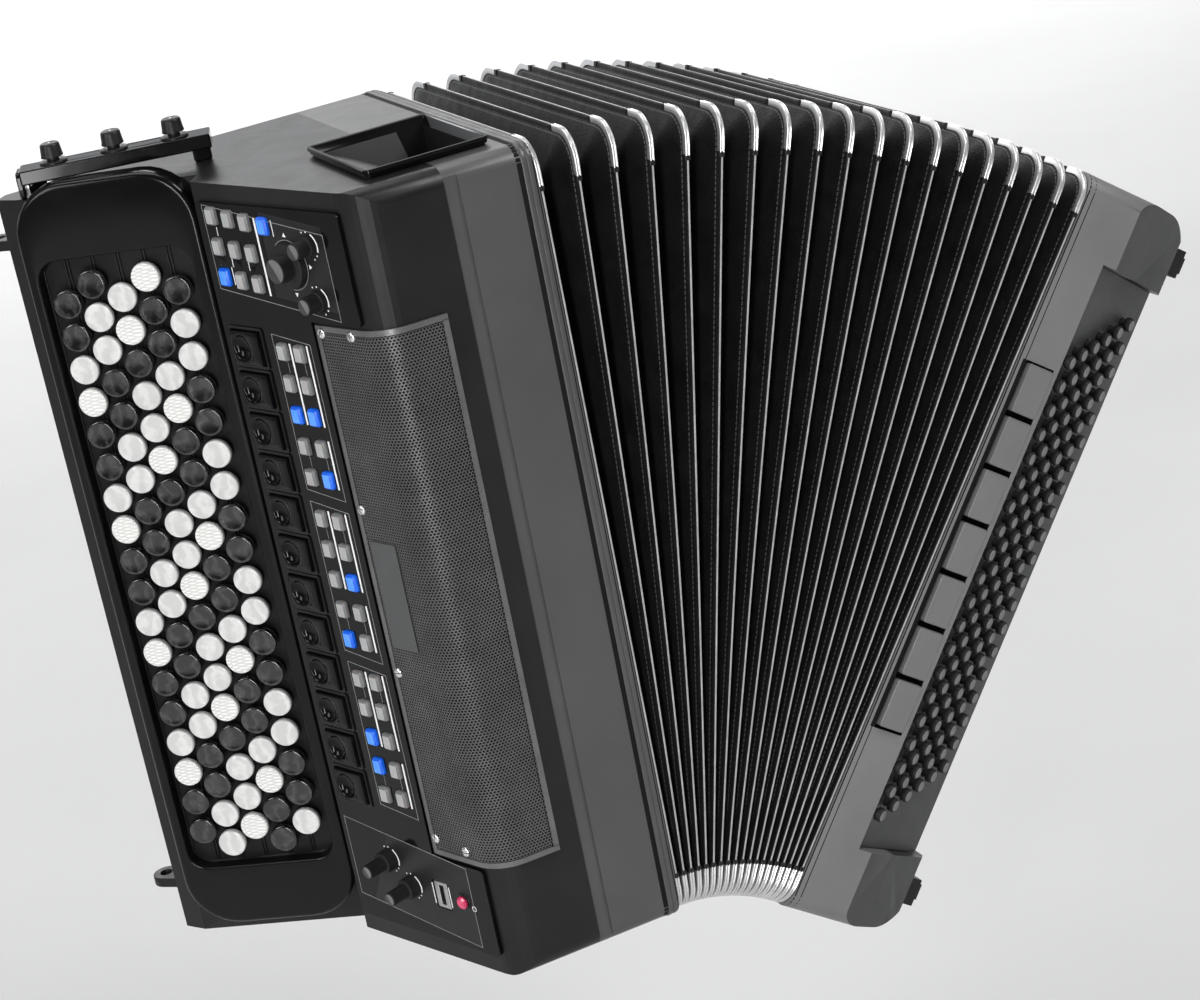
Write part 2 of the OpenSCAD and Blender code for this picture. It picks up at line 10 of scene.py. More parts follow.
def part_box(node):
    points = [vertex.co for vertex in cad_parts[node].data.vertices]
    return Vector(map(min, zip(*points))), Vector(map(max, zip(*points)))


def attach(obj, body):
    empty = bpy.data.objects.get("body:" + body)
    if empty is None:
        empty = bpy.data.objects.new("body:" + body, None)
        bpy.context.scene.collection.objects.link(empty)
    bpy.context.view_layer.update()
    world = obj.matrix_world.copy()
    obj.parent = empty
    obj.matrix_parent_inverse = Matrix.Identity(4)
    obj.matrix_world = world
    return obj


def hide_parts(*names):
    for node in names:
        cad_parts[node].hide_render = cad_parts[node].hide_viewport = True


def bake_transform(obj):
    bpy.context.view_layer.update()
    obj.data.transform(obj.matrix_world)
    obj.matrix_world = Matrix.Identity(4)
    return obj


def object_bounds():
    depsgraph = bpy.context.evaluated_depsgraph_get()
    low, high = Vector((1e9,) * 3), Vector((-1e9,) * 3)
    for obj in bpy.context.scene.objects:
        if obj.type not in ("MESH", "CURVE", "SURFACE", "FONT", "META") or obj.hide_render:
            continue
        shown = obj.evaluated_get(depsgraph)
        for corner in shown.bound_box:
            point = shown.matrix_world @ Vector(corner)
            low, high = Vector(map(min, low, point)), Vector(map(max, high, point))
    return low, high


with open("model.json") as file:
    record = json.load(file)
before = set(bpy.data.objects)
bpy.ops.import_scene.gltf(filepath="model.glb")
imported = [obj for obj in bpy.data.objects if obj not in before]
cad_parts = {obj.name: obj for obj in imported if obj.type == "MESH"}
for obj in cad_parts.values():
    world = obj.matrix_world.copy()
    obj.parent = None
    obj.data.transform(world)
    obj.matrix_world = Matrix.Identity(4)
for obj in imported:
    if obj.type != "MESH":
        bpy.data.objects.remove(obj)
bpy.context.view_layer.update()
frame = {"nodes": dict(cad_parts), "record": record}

random.seed(7)
MM = 0.001

# --- frames --------------------------------------------------------------------------
# Instrument frame, in millimetres: x = 0 is the treble casing's bellows face and +X runs to
# the bass end, y = 0 is the front, z = 0 is the casing's lower end.
STRIP_LO, STRIP_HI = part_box("treble_strip")
ORIGIN = Vector((STRIP_HI[0], STRIP_LO[1], STRIP_LO[2]))
CASING_H = 452.0
CASING_D = 223.0
PLACE = Matrix.Translation(ORIGIN) @ Matrix.Scale(MM, 4)

JUNCTION = (-144.6, 123.4)          # where the control panel meets the keyboard
RIDGE_X = 99.0
RIDGE_R = 22.0
PANEL_TURN = math.atan2(-JUNCTION[1], -RIDGE_X - JUNCTION[0])
PANEL_W = math.hypot(JUNCTION[0] + RIDGE_X, JUNCTION[1])
BED_OUT = (-229.7, 183.1)
BED_TURN = math.atan2(JUNCTION[1] - BED_OUT[1], JUNCTION[0] - BED_OUT[0])


def flat_frame(x, y, turn):
    return PLACE @ Matrix.Translation((x, y, 0)) @ Matrix.Rotation(turn, 4, "Z")


PANEL = flat_frame(*JUNCTION, PANEL_TURN)
BED = flat_frame(*BED_OUT, BED_TURN)
CHIN_TURN = math.radians(-19.5)
CHIN = flat_frame(-168, 171, CHIN_TURN)

JOINTS = {j["name"]: j for j in frame["record"]["behaviour"]["joints"]}
FOLDS = 17
HINGES = [Vector(JOINTS[f"fan_{i:02d}"]["pos_m"]) for i in range(1, FOLDS + 2)]
OPEN = [math.radians(-JOINTS[f"fan_{i:02d}"]["range_deg"][0]) for i in range(1, FOLDS + 2)]
PITCH = (HINGES[1] - HINGES[0]).length / MM
CREST_BODY = ["treble"] + [f"bellows_fold_{i:02d}" for i in range(1, FOLDS + 1)] + ["bass"]


def crest(i):
    """The frame of crest i in millimetres: x = 0 on its middle plane, y and z as the casing."""
    if i == 0:
        return PLACE @ Matrix.Translation((PITCH / 2, 0, 0))
    turn = Matrix.Rotation(sum(OPEN[:i]), 4, "Y")
    return Matrix.Translation(HINGES[i - 1]) @ turn @ Matrix.Scale(MM, 4) \
        @ Matrix.Translation((PITCH / 2, 0, 0))


BASS = crest(FOLDS + 1) @ Matrix.Translation((PITCH / 2, 0, 0))
BASS_RIDGE = 39.0
BOARD_TURN = math.radians(29)
SLOPE = BASS @ Matrix.Translation((BASS_RIDGE, 0, 0)) @ Matrix.Rotation(BOARD_TURN, 4, "Z")


# --- materials -----------------------------------------------------------------------
def noise(tree, where, scale, detail=3.0, rough=0.5, distortion=0.0):
    n = tree.nodes.new("ShaderNodeTexNoise")
    n.inputs["Scale"].default_value = scale
    n.inputs["Detail"].default_value = detail
    n.inputs["Roughness"].default_value = rough
    n.inputs["Distortion"].default_value = distortion
    tree.links.new(where, n.inputs["Vector"])
    return n.outputs["Fac"]


def remap(tree, value, a, b, lo=0.3, hi=0.7):
    n = tree.nodes.new("ShaderNodeMapRange")
    n.inputs["From Min"].default_value = lo
    n.inputs["From Max"].default_value = hi
    n.inputs["To Min"].default_value = a
    n.inputs["To Max"].default_value = b
    tree.links.new(value, n.inputs["Value"])
    return n.outputs["Result"]


def mixed(tree, factor, a, b):
    n = tree.nodes.new("ShaderNodeMix")
    n.data_type = "RGBA"
    tree.links.new(factor, n.inputs["Factor"])
    for socket, value in (("A", a), ("B", b)):
        target = [s for s in n.inputs if s.name == socket and s.type == "RGBA"][0]
        if isinstance(value, tuple):
            target.default_value = (*value, 1)
        else:
            tree.links.new(value, target)
    return [s for s in n.outputs if s.type == "RGBA"][0]


def combined(tree, kind, a, b):
    n = tree.nodes.new("ShaderNodeMath")
    n.operation = kind
    for socket, value in zip(n.inputs, (a, b)):
        if isinstance(value, (int, float)):
            socket.default_value = value
        else:
            tree.links.new(value, socket)
    return n.outputs["Value"]


def bumped(tree, shader, height, strength, distance):
    n = tree.nodes.new("ShaderNodeBump")
    n.inputs["Strength"].default_value = strength
    n.inputs["Distance"].default_value = distance
    tree.links.new(height, n.inputs["Height"])
    tree.links.new(n.outputs["Normal"], shader.inputs["Normal"])


def principled(name):
    m = bpy.data.materials.new(name)
    m.use_nodes = True
    tree = m.node_tree
    where = tree.nodes.new("ShaderNodeTexCoord").outputs["Object"]
    return m, tree, tree.nodes["Principled BSDF"], where


def surface(name, dark, light, rough=(0.3, 0.4), tone=25.0, grain=1500.0, bump=0.15,
            depth=0.0001, metal=0.0, coat=0.0, coat_rough=0.05, level=0.5,
            transmission=0.0, subsurface=0.0, sheen=0.0):
    """A finish with a cloudy tone, smudged roughness and a fine grain in the surface."""
    m, tree, shader, where = principled(name)
    clouds = noise(tree, where, tone, 4.0, 0.6)
    colour = mixed(tree, remap(tree, clouds, 0, 1), dark, light)
    tree.links.new(colour, shader.inputs["Base Color"])
    smudge = noise(tree, where, tone * 2.3, 5.0, 0.65, 0.6)
    tree.links.new(remap(tree, smudge, rough[0], rough[1]), shader.inputs["Roughness"])
    fine = noise(tree, where, grain, 2.0, 0.6)
    bumped(tree, shader, fine, bump, depth)
    shader.inputs["Metallic"].default_value = metal
    shader.inputs["Coat Weight"].default_value = coat
    shader.inputs["Coat Roughness"].default_value = coat_rough
    shader.inputs["Specular IOR Level"].default_value = level
    shader.inputs["Transmission Weight"].default_value = transmission
    shader.inputs["Subsurface Weight"].default_value = subsurface
    shader.inputs["Subsurface Scale"].default_value = 0.002
    shader.inputs["Sheen Weight"].default_value = sheen
    return m


def grey(v, tint=0.0):
    return (v * (1 - tint), v, v * (1 + tint))


CASING = surface("casing_texture", grey(0.008), grey(0.014, 0.02), (0.30, 0.40), 18, 2600, 0.22,
                 level=0.26)
STRIP = surface("anthracite_satin", grey(0.078), grey(0.096), (0.36, 0.46), 14, 2400,
                0.2, 0.0001, 0.35, level=0.4)
GLOSS = surface("gloss_black", grey(0.002), grey(0.005), (0.06, 0.13), 22, 900, 0.02, coat=0.08,
                level=0.16)
BED_GLOSS = surface("keyboard_gloss", grey(0.002), grey(0.005), (0.14, 0.22), 16, 1800, 0.04,
                    coat=0.08, coat_rough=0.12, level=0.2)
WELL = surface("well_black", grey(0.003), grey(0.007), (0.35, 0.5), 30, 1600, 0.1, level=0.25)
SATIN_BLACK = surface("satin_black", grey(0.006), grey(0.013), (0.32, 0.46), 40, 2200, 0.2,
                      level=0.3)
RUBBER_BLACK = surface("rubber_black", grey(0.007), grey(0.014), (0.5, 0.65), 60, 2600, 0.3,
                       level=0.3)
BASS_DARK = surface("bass_side", grey(0.022, 0.02), grey(0.034, 0.02), (0.34, 0.46), 16, 2400,
                    0.2, 0.0001, 0.2, level=0.4)
BOARD_SATIN = surface("board_satin", grey(0.040, 0.01), grey(0.058, 0.01), (0.4, 0.5), 14, 2400,
                      0.2, 0.0001, 0.2, level=0.3)
REGISTER = surface("register_gloss", grey(0.16), grey(0.18), (0.3, 0.34), 30, 1500, 0.02,
                   coat=0.05, metal=0.2)
STUD_FACE = surface("stud_face", grey(0.12), grey(0.16), (0.3, 0.42), 200, 2600, 0.15, level=0.4)
GRILLE = surface("grille_steel", grey(0.09), grey(0.14), (0.30, 0.42), 40, 3000, 0.15, metal=0.6)
GRILLE_RIM = surface("grille_border", grey(0.13), grey(0.2), (0.25, 0.36), 40, 2500, 0.1, metal=0.7)
FELT = surface("grille_felt", grey(0.002), grey(0.006), (0.85, 0.95), 200, 3000, 0.6, 0.0003,
               sheen=0.1)
NICKEL = surface("nickel", grey(0.66), grey(0.78), (0.26, 0.34), 60, 1800, 0.02, 0.00003, 0.85)
SCREW = surface("screw_nickel", grey(0.72), grey(0.9), (0.2, 0.32), 300, 4000, 0.1, 0.00005, 1.0)
STEEL = surface("stamped_steel", grey(0.42), grey(0.56), (0.24, 0.36), 120, 3000, 0.15, 0.0001, 1.0)
# matte black for seams and the funnel's inner wall; painted shade in the register well and at the
# bottom of the screw slots
MATTE_BLACK_AND_PAINTED_SHADE = surface("matte_black_and_painted_shade", grey(0.002), grey(0.005), (0.7, 0.8), 300, 3000, 0.3, level=0.2)
BINDING = surface("binding_tape", grey(0.30), grey(0.44), (0.4, 0.55), 150, 2600, 0.4, 0.0002)
WINDOW = surface("smoked_window", grey(0.035, 0.03), grey(0.055, 0.03), (0.05, 0.1), 12, 400, 0.01,
                 coat=0.4)
SPEAKER = surface("speaker_cone", grey(0.012), grey(0.022), (0.6, 0.75), 80, 1800, 0.5, 0.0003)
# painted light: each pad's front face gets a lighter copy of its silicone than its sides, standing in
# for the light on the face
PAD_GREY = surface("silicone_grey", grey(0.15), grey(0.21), (0.32, 0.42), 90, 2600, 0.12,
                   subsurface=0.25)
GREY_PAD_FACE_PAINTED_LIGHT = surface("grey_silicone_face_painted_light", grey(0.34), grey(0.42), (0.3, 0.4), 90, 2600, 0.12,
                        subsurface=0.25)
PAD_BLUE = surface("silicone_blue", (0.003, 0.09, 0.72), (0.010, 0.17, 0.92), (0.28, 0.38), 90,
                   2600, 0.12, subsurface=0.25)
BLUE_PAD_FACE_PAINTED_LIGHT = surface("blue_silicone_face_painted_light", (0.05, 0.26, 0.92), (0.12, 0.36, 1.0), (0.28, 0.38),
                        90, 2600, 0.12, subsurface=0.25)
POWER_RED = surface("power_red", (0.60, 0.012, 0.09), (0.85, 0.06, 0.19), (0.10, 0.18), 200, 1800,
                    0.05, coat=0.5, transmission=0.15)
PRINT = surface("panel_marking", grey(0.80), grey(0.90), (0.45, 0.6), 300, 4000, 0.1)
PRINT_GREY = surface("panel_outline", grey(0.20), grey(0.28), (0.4, 0.55), 300, 4000, 0.1)
PANEL_SATIN = surface("panel_satin", grey(0.010), grey(0.016), (0.34, 0.44), 26, 2400, 0.18,
                      level=0.26)
# painted light and painted shade: each knob's flat end face is split into a lighter half and a darker
# half of one grey finish
PAINTED_LIGHT_KNOB_HALF = surface("knob_face", grey(0.15), grey(0.20), (0.3, 0.4), 150, 3000, 0.15, metal=0.3)
PAINTED_SHADE_KNOB_HALF = surface("knob_half_painted_shade", grey(0.035), grey(0.055), (0.3, 0.4), 150, 3000, 0.15,
                     metal=0.2)
RAMP = surface("funnel_ramp", grey(0.085), grey(0.115), (0.42, 0.52), 20, 2400, 0.2, 0.0001, 0.3)
BOARD_GREEN = surface("circuit_green", (0.010, 0.07, 0.03), (0.02, 0.11, 0.05), (0.35, 0.5), 60,
                      900, 0.2)


def cloth():
    """Black bellows cloth: leather grain, with a sewn line a few millimetres from the crest."""
    m, tree, shader, where = principled("bellows_cloth")
    uv = tree.nodes.new("ShaderNodeTexCoord").outputs["UV"]
    parts = tree.nodes.new("ShaderNodeSeparateXYZ")
    tree.links.new(uv, parts.inputs["Vector"])
    along, deep = parts.outputs["X"], parts.outputs["Y"]
    off = combined(tree, "ABSOLUTE", combined(tree, "SUBTRACT", deep, 3.8), 0)
    line = combined(tree, "LESS_THAN", off, 0.35)
    dash = combined(tree, "LESS_THAN", combined(tree, "MODULO", along, 3.0), 2.1)
    sewn = combined(tree, "MULTIPLY", line, dash)
    clouds = noise(tree, where, 45, 4.0, 0.6)
    base = mixed(tree, remap(tree, clouds, 0, 1), grey(0.003), grey(0.008))
    colour = mixed(tree, sewn, base, grey(0.09))
    tree.links.new(colour, shader.inputs["Base Color"])
    tree.links.new(remap(tree, noise(tree, where, 120, 4.0), 0.36, 0.56), shader.inputs["Roughness"])
    cells = tree.nodes.new("ShaderNodeTexVoronoi")
    cells.inputs["Scale"].default_value = 1100
    tree.links.new(where, cells.inputs["Vector"])
    creases = noise(tree, where, 260, 5.0, 0.7, 1.5)
    height = combined(tree, "ADD", cells.outputs["Distance"], combined(tree, "MULTIPLY", creases, 1.4))
    height = combined(tree, "ADD", height, combined(tree, "MULTIPLY", sewn, 1.2))
    bumped(tree, shader, height, 0.35, 0.0003)
    shader.inputs["Sheen Weight"].default_value = 0.04
    shader.inputs["Specular IOR Level"].default_value = 0.3
    return m


def bass_satin():
    """Satin anthracite with painted shade: darker on the faces turned towards the bass end's outer
    side.
    """
    m, tree, shader, where = principled("bass_satin")
    outwards = BASS.to_3x3().normalized() @ Vector((1, 0, 0))
    facing = tree.nodes.new("ShaderNodeVectorMath")
    facing.operation = "DOT_PRODUCT"
    tree.links.new(tree.nodes.new("ShaderNodeTexCoord").outputs["Normal"], facing.inputs[0])
    facing.inputs[1].default_value = outwards
    # painted shade: faces turned towards the bass end's outer side take the darker tone, standing in
    # for the shade on that slope
    side = remap(tree, facing.outputs["Value"], 0, 1, 0.12, 0.42)
    clouds = remap(tree, noise(tree, where, 14, 4.0, 0.6), 0, 1)
    front = mixed(tree, clouds, grey(0.17), grey(0.205))
    slope = mixed(tree, clouds, grey(0.030), grey(0.042))
    tree.links.new(mixed(tree, side, front, slope), shader.inputs["Base Color"])
    tree.links.new(remap(tree, noise(tree, where, 32, 5.0, 0.65, 0.6), 0.36, 0.46),
                   shader.inputs["Roughness"])
    bumped(tree, shader, noise(tree, where, 2400, 2.0, 0.6), 0.2, 0.0001)
    shader.inputs["Metallic"].default_value = 0.2
    shader.inputs["Specular IOR Level"].default_value = 0.35
    return m


def pearl(name, dark, light, swirl, rough, sparkle=0.0):
    """Pearl plastic: soft swirls that differ from button to button, under a clear coat."""
    m, tree, shader, where = principled(name)
    wave = tree.nodes.new("ShaderNodeTexWave")
    wave.inputs["Scale"].default_value = 42
    wave.inputs["Distortion"].default_value = 9
    wave.inputs["Detail"].default_value = 4
    wave.inputs["Detail Scale"].default_value = 2.2
    tree.links.new(where, wave.inputs["Vector"])
    clouds = noise(tree, where, swirl, 6.0, 0.65, 2.5)
    both = combined(tree, "MULTIPLY", wave.outputs["Fac"], clouds)
    colour = mixed(tree, remap(tree, both, 0, 1, 0.12, 0.55), dark, light)
    tree.links.new(colour, shader.inputs["Base Color"])
    tree.links.new(remap(tree, clouds, rough, rough + 0.08), shader.inputs["Roughness"])
    bumped(tree, shader, noise(tree, where, 700, 2.0), 0.03, 0.0001)
    shader.inputs["Metallic"].default_value = sparkle
    shader.inputs["Coat Weight"].default_value = 0.8
    shader.inputs["Coat Roughness"].default_value = 0.04
    return m


def knurled(name, dark, light):
    """White button with a fine crosshatch pressed into it; painted shade darkens the crosshatch's
    grooves.
    """
    m, tree, shader, where = principled(name)
    heights = []
    for turn in (0.785, -0.785):
        spin = tree.nodes.new("ShaderNodeMapping")
        spin.inputs["Rotation"].default_value = (0, turn, BED_TURN)
        tree.links.new(where, spin.inputs["Vector"])
        wave = tree.nodes.new("ShaderNodeTexWave")
        wave.inputs["Scale"].default_value = 260
        tree.links.new(spin.outputs["Vector"], wave.inputs["Vector"])
        heights.append(wave.outputs["Fac"])
    both = combined(tree, "MULTIPLY", *heights)
    # painted shade: the colour follows the crosshatch's height and is darker in its grooves
    colour = mixed(tree, remap(tree, both, 0, 1, 0.0, 0.5), dark, light)
    tree.links.new(colour, shader.inputs["Base Color"])
    tree.links.new(remap(tree, noise(tree, where, 300), 0.3, 0.42), shader.inputs["Roughness"])
    bumped(tree, shader, both, 0.6, 0.0004)
    return m


CLOTH = cloth()
BASS_SATIN_WITH_PAINTED_SHADE = bass_satin()
PEARL_WHITE = pearl("pearl_white", (0.60, 0.60, 0.59), (0.74, 0.735, 0.725), 150, 0.18)
PEARL_BLACK = pearl("pearl_black", grey(0.002), grey(0.035), 170, 0.12, 0.1)
PEARL_KNURL_WITH_PAINTED_SHADE = knurled("pearl_knurled", (0.64, 0.64, 0.62), (0.93, 0.93, 0.90))


# --- mesh helpers --------------------------------------------------------------------
class Shape:
    """Collects faces in row metres, then makes one piece of them."""

    def __init__(self):
        self.verts = []
        self.faces = []
        self.kinds = []
        self.uvs = []

    def add(self, verts, faces, place=PLACE, kind=0, uvs=None):
        start = len(self.verts)
        self.verts += [place @ Vector(v) for v in verts]
        self.faces += [tuple(start + i for i in f) for f in faces]
        self.kinds += [kind] * len(faces)
        self.uvs += uvs or [None] * len(faces)
        return self

    def build(self, name, materials, sharp):
        """A smooth-shaded object of the collected faces; edges over sharp degrees stay sharp."""
        me = bpy.data.meshes.new(name)
        me.from_pydata([tuple(v) for v in self.verts], [], self.faces)
        if any(self.uvs):
            layer = me.uv_layers.new(name="UVMap")
            for poly, corners in zip(me.polygons, self.uvs):
                for loop, uv in zip(poly.loop_indices, corners):
                    layer.data[loop].uv = uv
        for poly, kind in zip(me.polygons, self.kinds):
            poly.material_index = kind
            poly.use_smooth = True
        for m in materials:
            me.materials.append(m)
        bm = bmesh.new()
        bm.from_mesh(me)
        bmesh.ops.recalc_face_normals(bm, faces=bm.faces)
        bm.to_mesh(me)
        bm.free()
        me.set_sharp_from_angle(angle=math.radians(sharp))
        ob = bpy.data.objects.new(name, me)
        bpy.context.scene.collection.objects.link(ob)
        return ob

    def piece(self, name, body, slot, materials, sharp=35.0, replaces=()):
        ob = self.build(name, materials, sharp)
        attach(ob, body)
        for n in replaces:
            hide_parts(n)


def skin(loops, cap_first=True, closed=False):
    """Faces between loops that have the same number of points. closed joins last to first."""
    n = len(loops[0])
    verts = [p for loop in loops for p in loop]
    faces = []
    last = len(loops) if closed else len(loops) - 1
    for k in range(last):
        a, b = k * n, (k + 1) % len(loops) * n
        for i in range(n):
            j = (i + 1) % n
            faces.append((a + i, a + j, b + j, b + i))
    if not closed:
        if cap_first:
            faces.append(tuple(range(n)))
        faces.append(tuple(range((len(loops) - 1) * n, len(loops) * n)))
    return verts, faces


def lathe(profile, steps=32, ridges=0.0, ridge_from=0.0, ridge_to=0.0):
    """A turned shape round the y axis from (radius, y) points, closed at both ends."""
    loops = []
    for r, y in profile:
        cut = ridges if ridge_from <= y <= ridge_to else 0.0
        loops.append([((r - cut * (k % 2)) * math.cos(2 * math.pi * k / steps), y,
                       (r - cut * (k % 2)) * math.sin(2 * math.pi * k / steps))
                      for k in range(steps)])
    return skin(loops)


def round_rect(x0, z0, w, h, r, inset=0.0, n=6):
    """Points of a rectangle with round corners, moved inwards by inset."""
    r = max(r - inset, 0.05)
    x0, z0, w, h = x0 + inset, z0 + inset, w - 2 * inset, h - 2 * inset
    out = []
    corners = ((x0 + w - r, z0 + h - r, 0), (x0 + r, z0 + h - r, 90), (x0 + r, z0 + r, 180),
               (x0 + w - r, z0 + r, 270))
    for cx, cz, a0 in corners:
        for k in range(n + 1):
            a = math.radians(a0 + 90 * k / n)
            out.append((cx + r * math.cos(a), cz + r * math.sin(a)))
    return out


def xy(points, z):
    return [(x, y, z) for x, y in points]


def xz(points, y):
    return [(x, y, z) for x, z in points]


def yz(points, x):
    return [(x, y, z) for y, z in points]


def soft_slab(x0, z0, w, h, r, front, back, edge=0.6, n=5):
    """A plate in the x-z plane with rounded front edges. front and back are its y limits."""
    loops = [xz(round_rect(x0, z0, w, h, r, 0, n), back),
             xz(round_rect(x0, z0, w, h, r, 0, n), front + edge)]
    for k in (1, 2, 3):
        a = math.radians(30 * k)
        loops.append(xz(round_rect(x0, z0, w, h, r, edge * (1 - math.cos(a)), n),
                        front + edge * (1 - math.sin(a))))
    return skin(loops)


def hollow_frame(x0, z0, w, h, r, line, front, back):
    """A thin raised outline: a rectangle's edge, line wide."""
    outer = round_rect(x0, z0, w, h, r, 0, 5)
    inner = round_rect(x0, z0, w, h, r, line, 5)
    return skin([xz(outer, back), xz(outer, front), xz(inner, front), xz(inner, back)], closed=True)


def finish_node(name, material, width=0.0, segments=3):
    """Gives a CAD node its material and, with a width, joins its split corners and rounds them."""
    ob = frame["nodes"][name]
    for slot in ob.material_slots:
        slot.material = material
    if not width:
        return
    weld = ob.modifiers.new("join", "WELD")
    weld.merge_threshold = 0.00001
    bevel = ob.modifiers.new("round", "BEVEL")
    bevel.width = width * MM
    bevel.segments = segments
    bevel.limit_method = "ANGLE"
    bevel.angle_limit = math.radians(32)
    bevel.harden_normals = True
    bevel.use_clamp_overlap = True


# --- bellows -------------------------------------------------------------------------
RIM_R = 16.0
LEAF_DEPTH = 25.0
LEAF_T = 0.8
LEAF_EDGE = 0.7                     # how far the cloth's outer edge lies inside the rim
CAP_LEG = 24.0
RIM_PROFILE = [(-1.05, 4.5), (-1.05, 1.3), (-0.85, 0.6), (-0.5, 0.15), (0, 0), (0.5, 0.15),
               (0.85, 0.6), (1.05, 1.3), (1.05, 4.5)]
CAP_PROFILE = [(-1.4, -3.2), (-1.4, -0.2), (-1.15, 0.2), (-0.8, 0.3), (-0.4, 0.0), (0, -0.25),
               (0.4, 0.0), (0.8, 0.3), (1.15, 0.2), (1.4, -0.2), (1.4, -3.2), (1.0, -3.2),
               (1.0, -1.0), (-1.0, -1.0), (-1.0, -3.2)]
CLIP_PROFILE = [(-1.5, -3.3), (-1.5, -0.1), (-1.2, 0.12), (1.2, 0.12), (1.5, -0.1), (1.5, -3.3)]


def casing_ring(inset, r):
    return round_rect(0, 0, CASING_D, CASING_H, r, inset, 6)


def rim(i):
    loops = [yz(casing_ring(inset, RIM_R), x) for x, inset in RIM_PROFILE]
    verts, faces = skin(loops, closed=True)
    shape = Shape().add(verts, faces, crest(i), uvs=[[(0, 20)] * 4] * len(faces))
    insets = [inset for x, inset in RIM_PROFILE]
    bound = [max(a, b) < 0.5 for a, b in zip(insets, insets[1:] + insets[:1])]
    shape.kinds = [int(taped) for taped in bound for point in loops[0]]
    body = CREST_BODY[i]
    gone = [body] if 0 < i <= FOLDS else []
    shape.piece(f"fold_rim_{i:02d}", body, "bellows_cloth", [CLOTH, BINDING], replaces=gone)


def corner_path(far):
    """Points and outward directions round the lower front corner, in y and z."""
    steps = 8
    out = [((far, 0), (0, -1))]
    for k in range(steps + 1):
        a = math.radians(270 - 90 * k / steps)
        d = (math.cos(a), math.sin(a))
        out.append(((RIM_R + RIM_R * d[0], RIM_R + RIM_R * d[1]), d))
    out.append(((0, far), (-1, 0)))
    return out


def swept(path, profile, flip_y, flip_z):
    loops = []
    for (y, z), (dy, dz) in path:
        loop = []
        for x, out in profile:
            py, pz = y + dy * out, z + dz * out
            loop.append((x, CASING_D - py if flip_y else py, CASING_H - pz if flip_z else pz))
        loops.append(loop)
    return skin(loops)


def caps(i):
    shape = Shape()
    for flip_y in (False, True):
        for flip_z in (False, True):
            shape.add(*swept(corner_path(CAP_LEG), CAP_PROFILE, flip_y, flip_z), crest(i), 0)
            near, far = CAP_LEG - 0.5, CAP_LEG + 2.5
            for a, b, d in (((near, 0), (far, 0), (0, -1)), ((0, near), (0, far), (-1, 0))):
                shape.add(*swept([(a, d), (b, d)], CLIP_PROFILE, flip_y, flip_z), crest(i), 1)
    shape.piece(f"fold_caps_{i:02d}", CREST_BODY[i], "nickel", [NICKEL, SATIN_BLACK], 50)


def leaf(i):
    """The cloth between crest i - 1 and crest i, folded inwards along a valley."""
    a, b = crest(i - 1), crest(i)
    turn = sum(OPEN[:i - 1]) + OPEN[i - 1] / 2
    middle = Matrix.Translation(HINGES[i - 1]) @ Matrix.Rotation(turn, 4, "Y") @ Matrix.Scale(MM, 4)
    valley_r = RIM_R + 12
    rows = [(a, LEAF_EDGE, RIM_R), (middle, LEAF_DEPTH, valley_r), (b, LEAF_EDGE, RIM_R),
            (b, LEAF_EDGE + LEAF_T, RIM_R), (middle, LEAF_DEPTH + LEAF_T, valley_r),
            (a, LEAF_EDGE + LEAF_T, RIM_R)]
    deep = [0, LEAF_DEPTH, 0, 0, LEAF_DEPTH, 0]
    loops = [[place @ Vector(p) for p in yz(casing_ring(inset, r), 0)] for place, inset, r in rows]
    ring = casing_ring(LEAF_EDGE, RIM_R)
    along = [0.0]
    for p, q in zip(ring, ring[1:] + ring[:1]):
        along.append(along[-1] + math.dist(p, q))
    uvs = []
    for v0, v1 in zip(deep, deep[1:] + deep[:1]):
        for u0, u1 in zip(along, along[1:]):
            uvs.append([(u0, v0), (u1, v0), (u1, v1), (u0, v1)])
    verts, faces = skin(loops, closed=True)
    shape = Shape().add(verts, faces, Matrix(), 0, uvs)
    ob = shape.build(f"bellows_leaf_{i:02d}", [CLOTH], 30)
    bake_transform(ob)


def end_frame(name, place, x0, x1, body, node_name):
    """The satin frame that fixes the bellows to a casing."""
    outer = [yz(casing_ring(0.0, RIM_R), x0), yz(casing_ring(0.0, RIM_R), x1),
             yz(casing_ring(20, RIM_R), x1), yz(casing_ring(20, RIM_R), x0)]
    shape = Shape().add(*skin(outer, closed=True), place)
    shape.piece(name, body, "strip_satin", [STRIP], replaces=[node_name])


for i in range(FOLDS + 2):
    rim(i)
    caps(i)
for i in range(1, FOLDS + 2):
    leaf(i)
end_frame("treble_end_frame", PLACE, 0, 0.75, "treble", "treble_bellows_frame")
end_frame("bass_end_frame", crest(FOLDS + 1), 1.1, PITCH / 2, "bass", "bass_bellows_frame")

# --- treble buttons ------------------------------------------------------------------
ROW_MID = 51.0
ROW_PITCH = 15.7
KEY_PITCH = 19.0
KEY_MID_Z = 232.4
KEY_PROFILE = [(0.05, 0.55), (4.5, 0.45), (6.2, 0.15), (7.0, 0.0), (7.6, 0.15), (8.0, 0.55),
               (8.15, 1.2), (8.15, 3.4), (7.9, 4.0), (7.2, 4.2), (2.5, 4.2), (2.5, 10.8),
               (0.05, 10.8)]
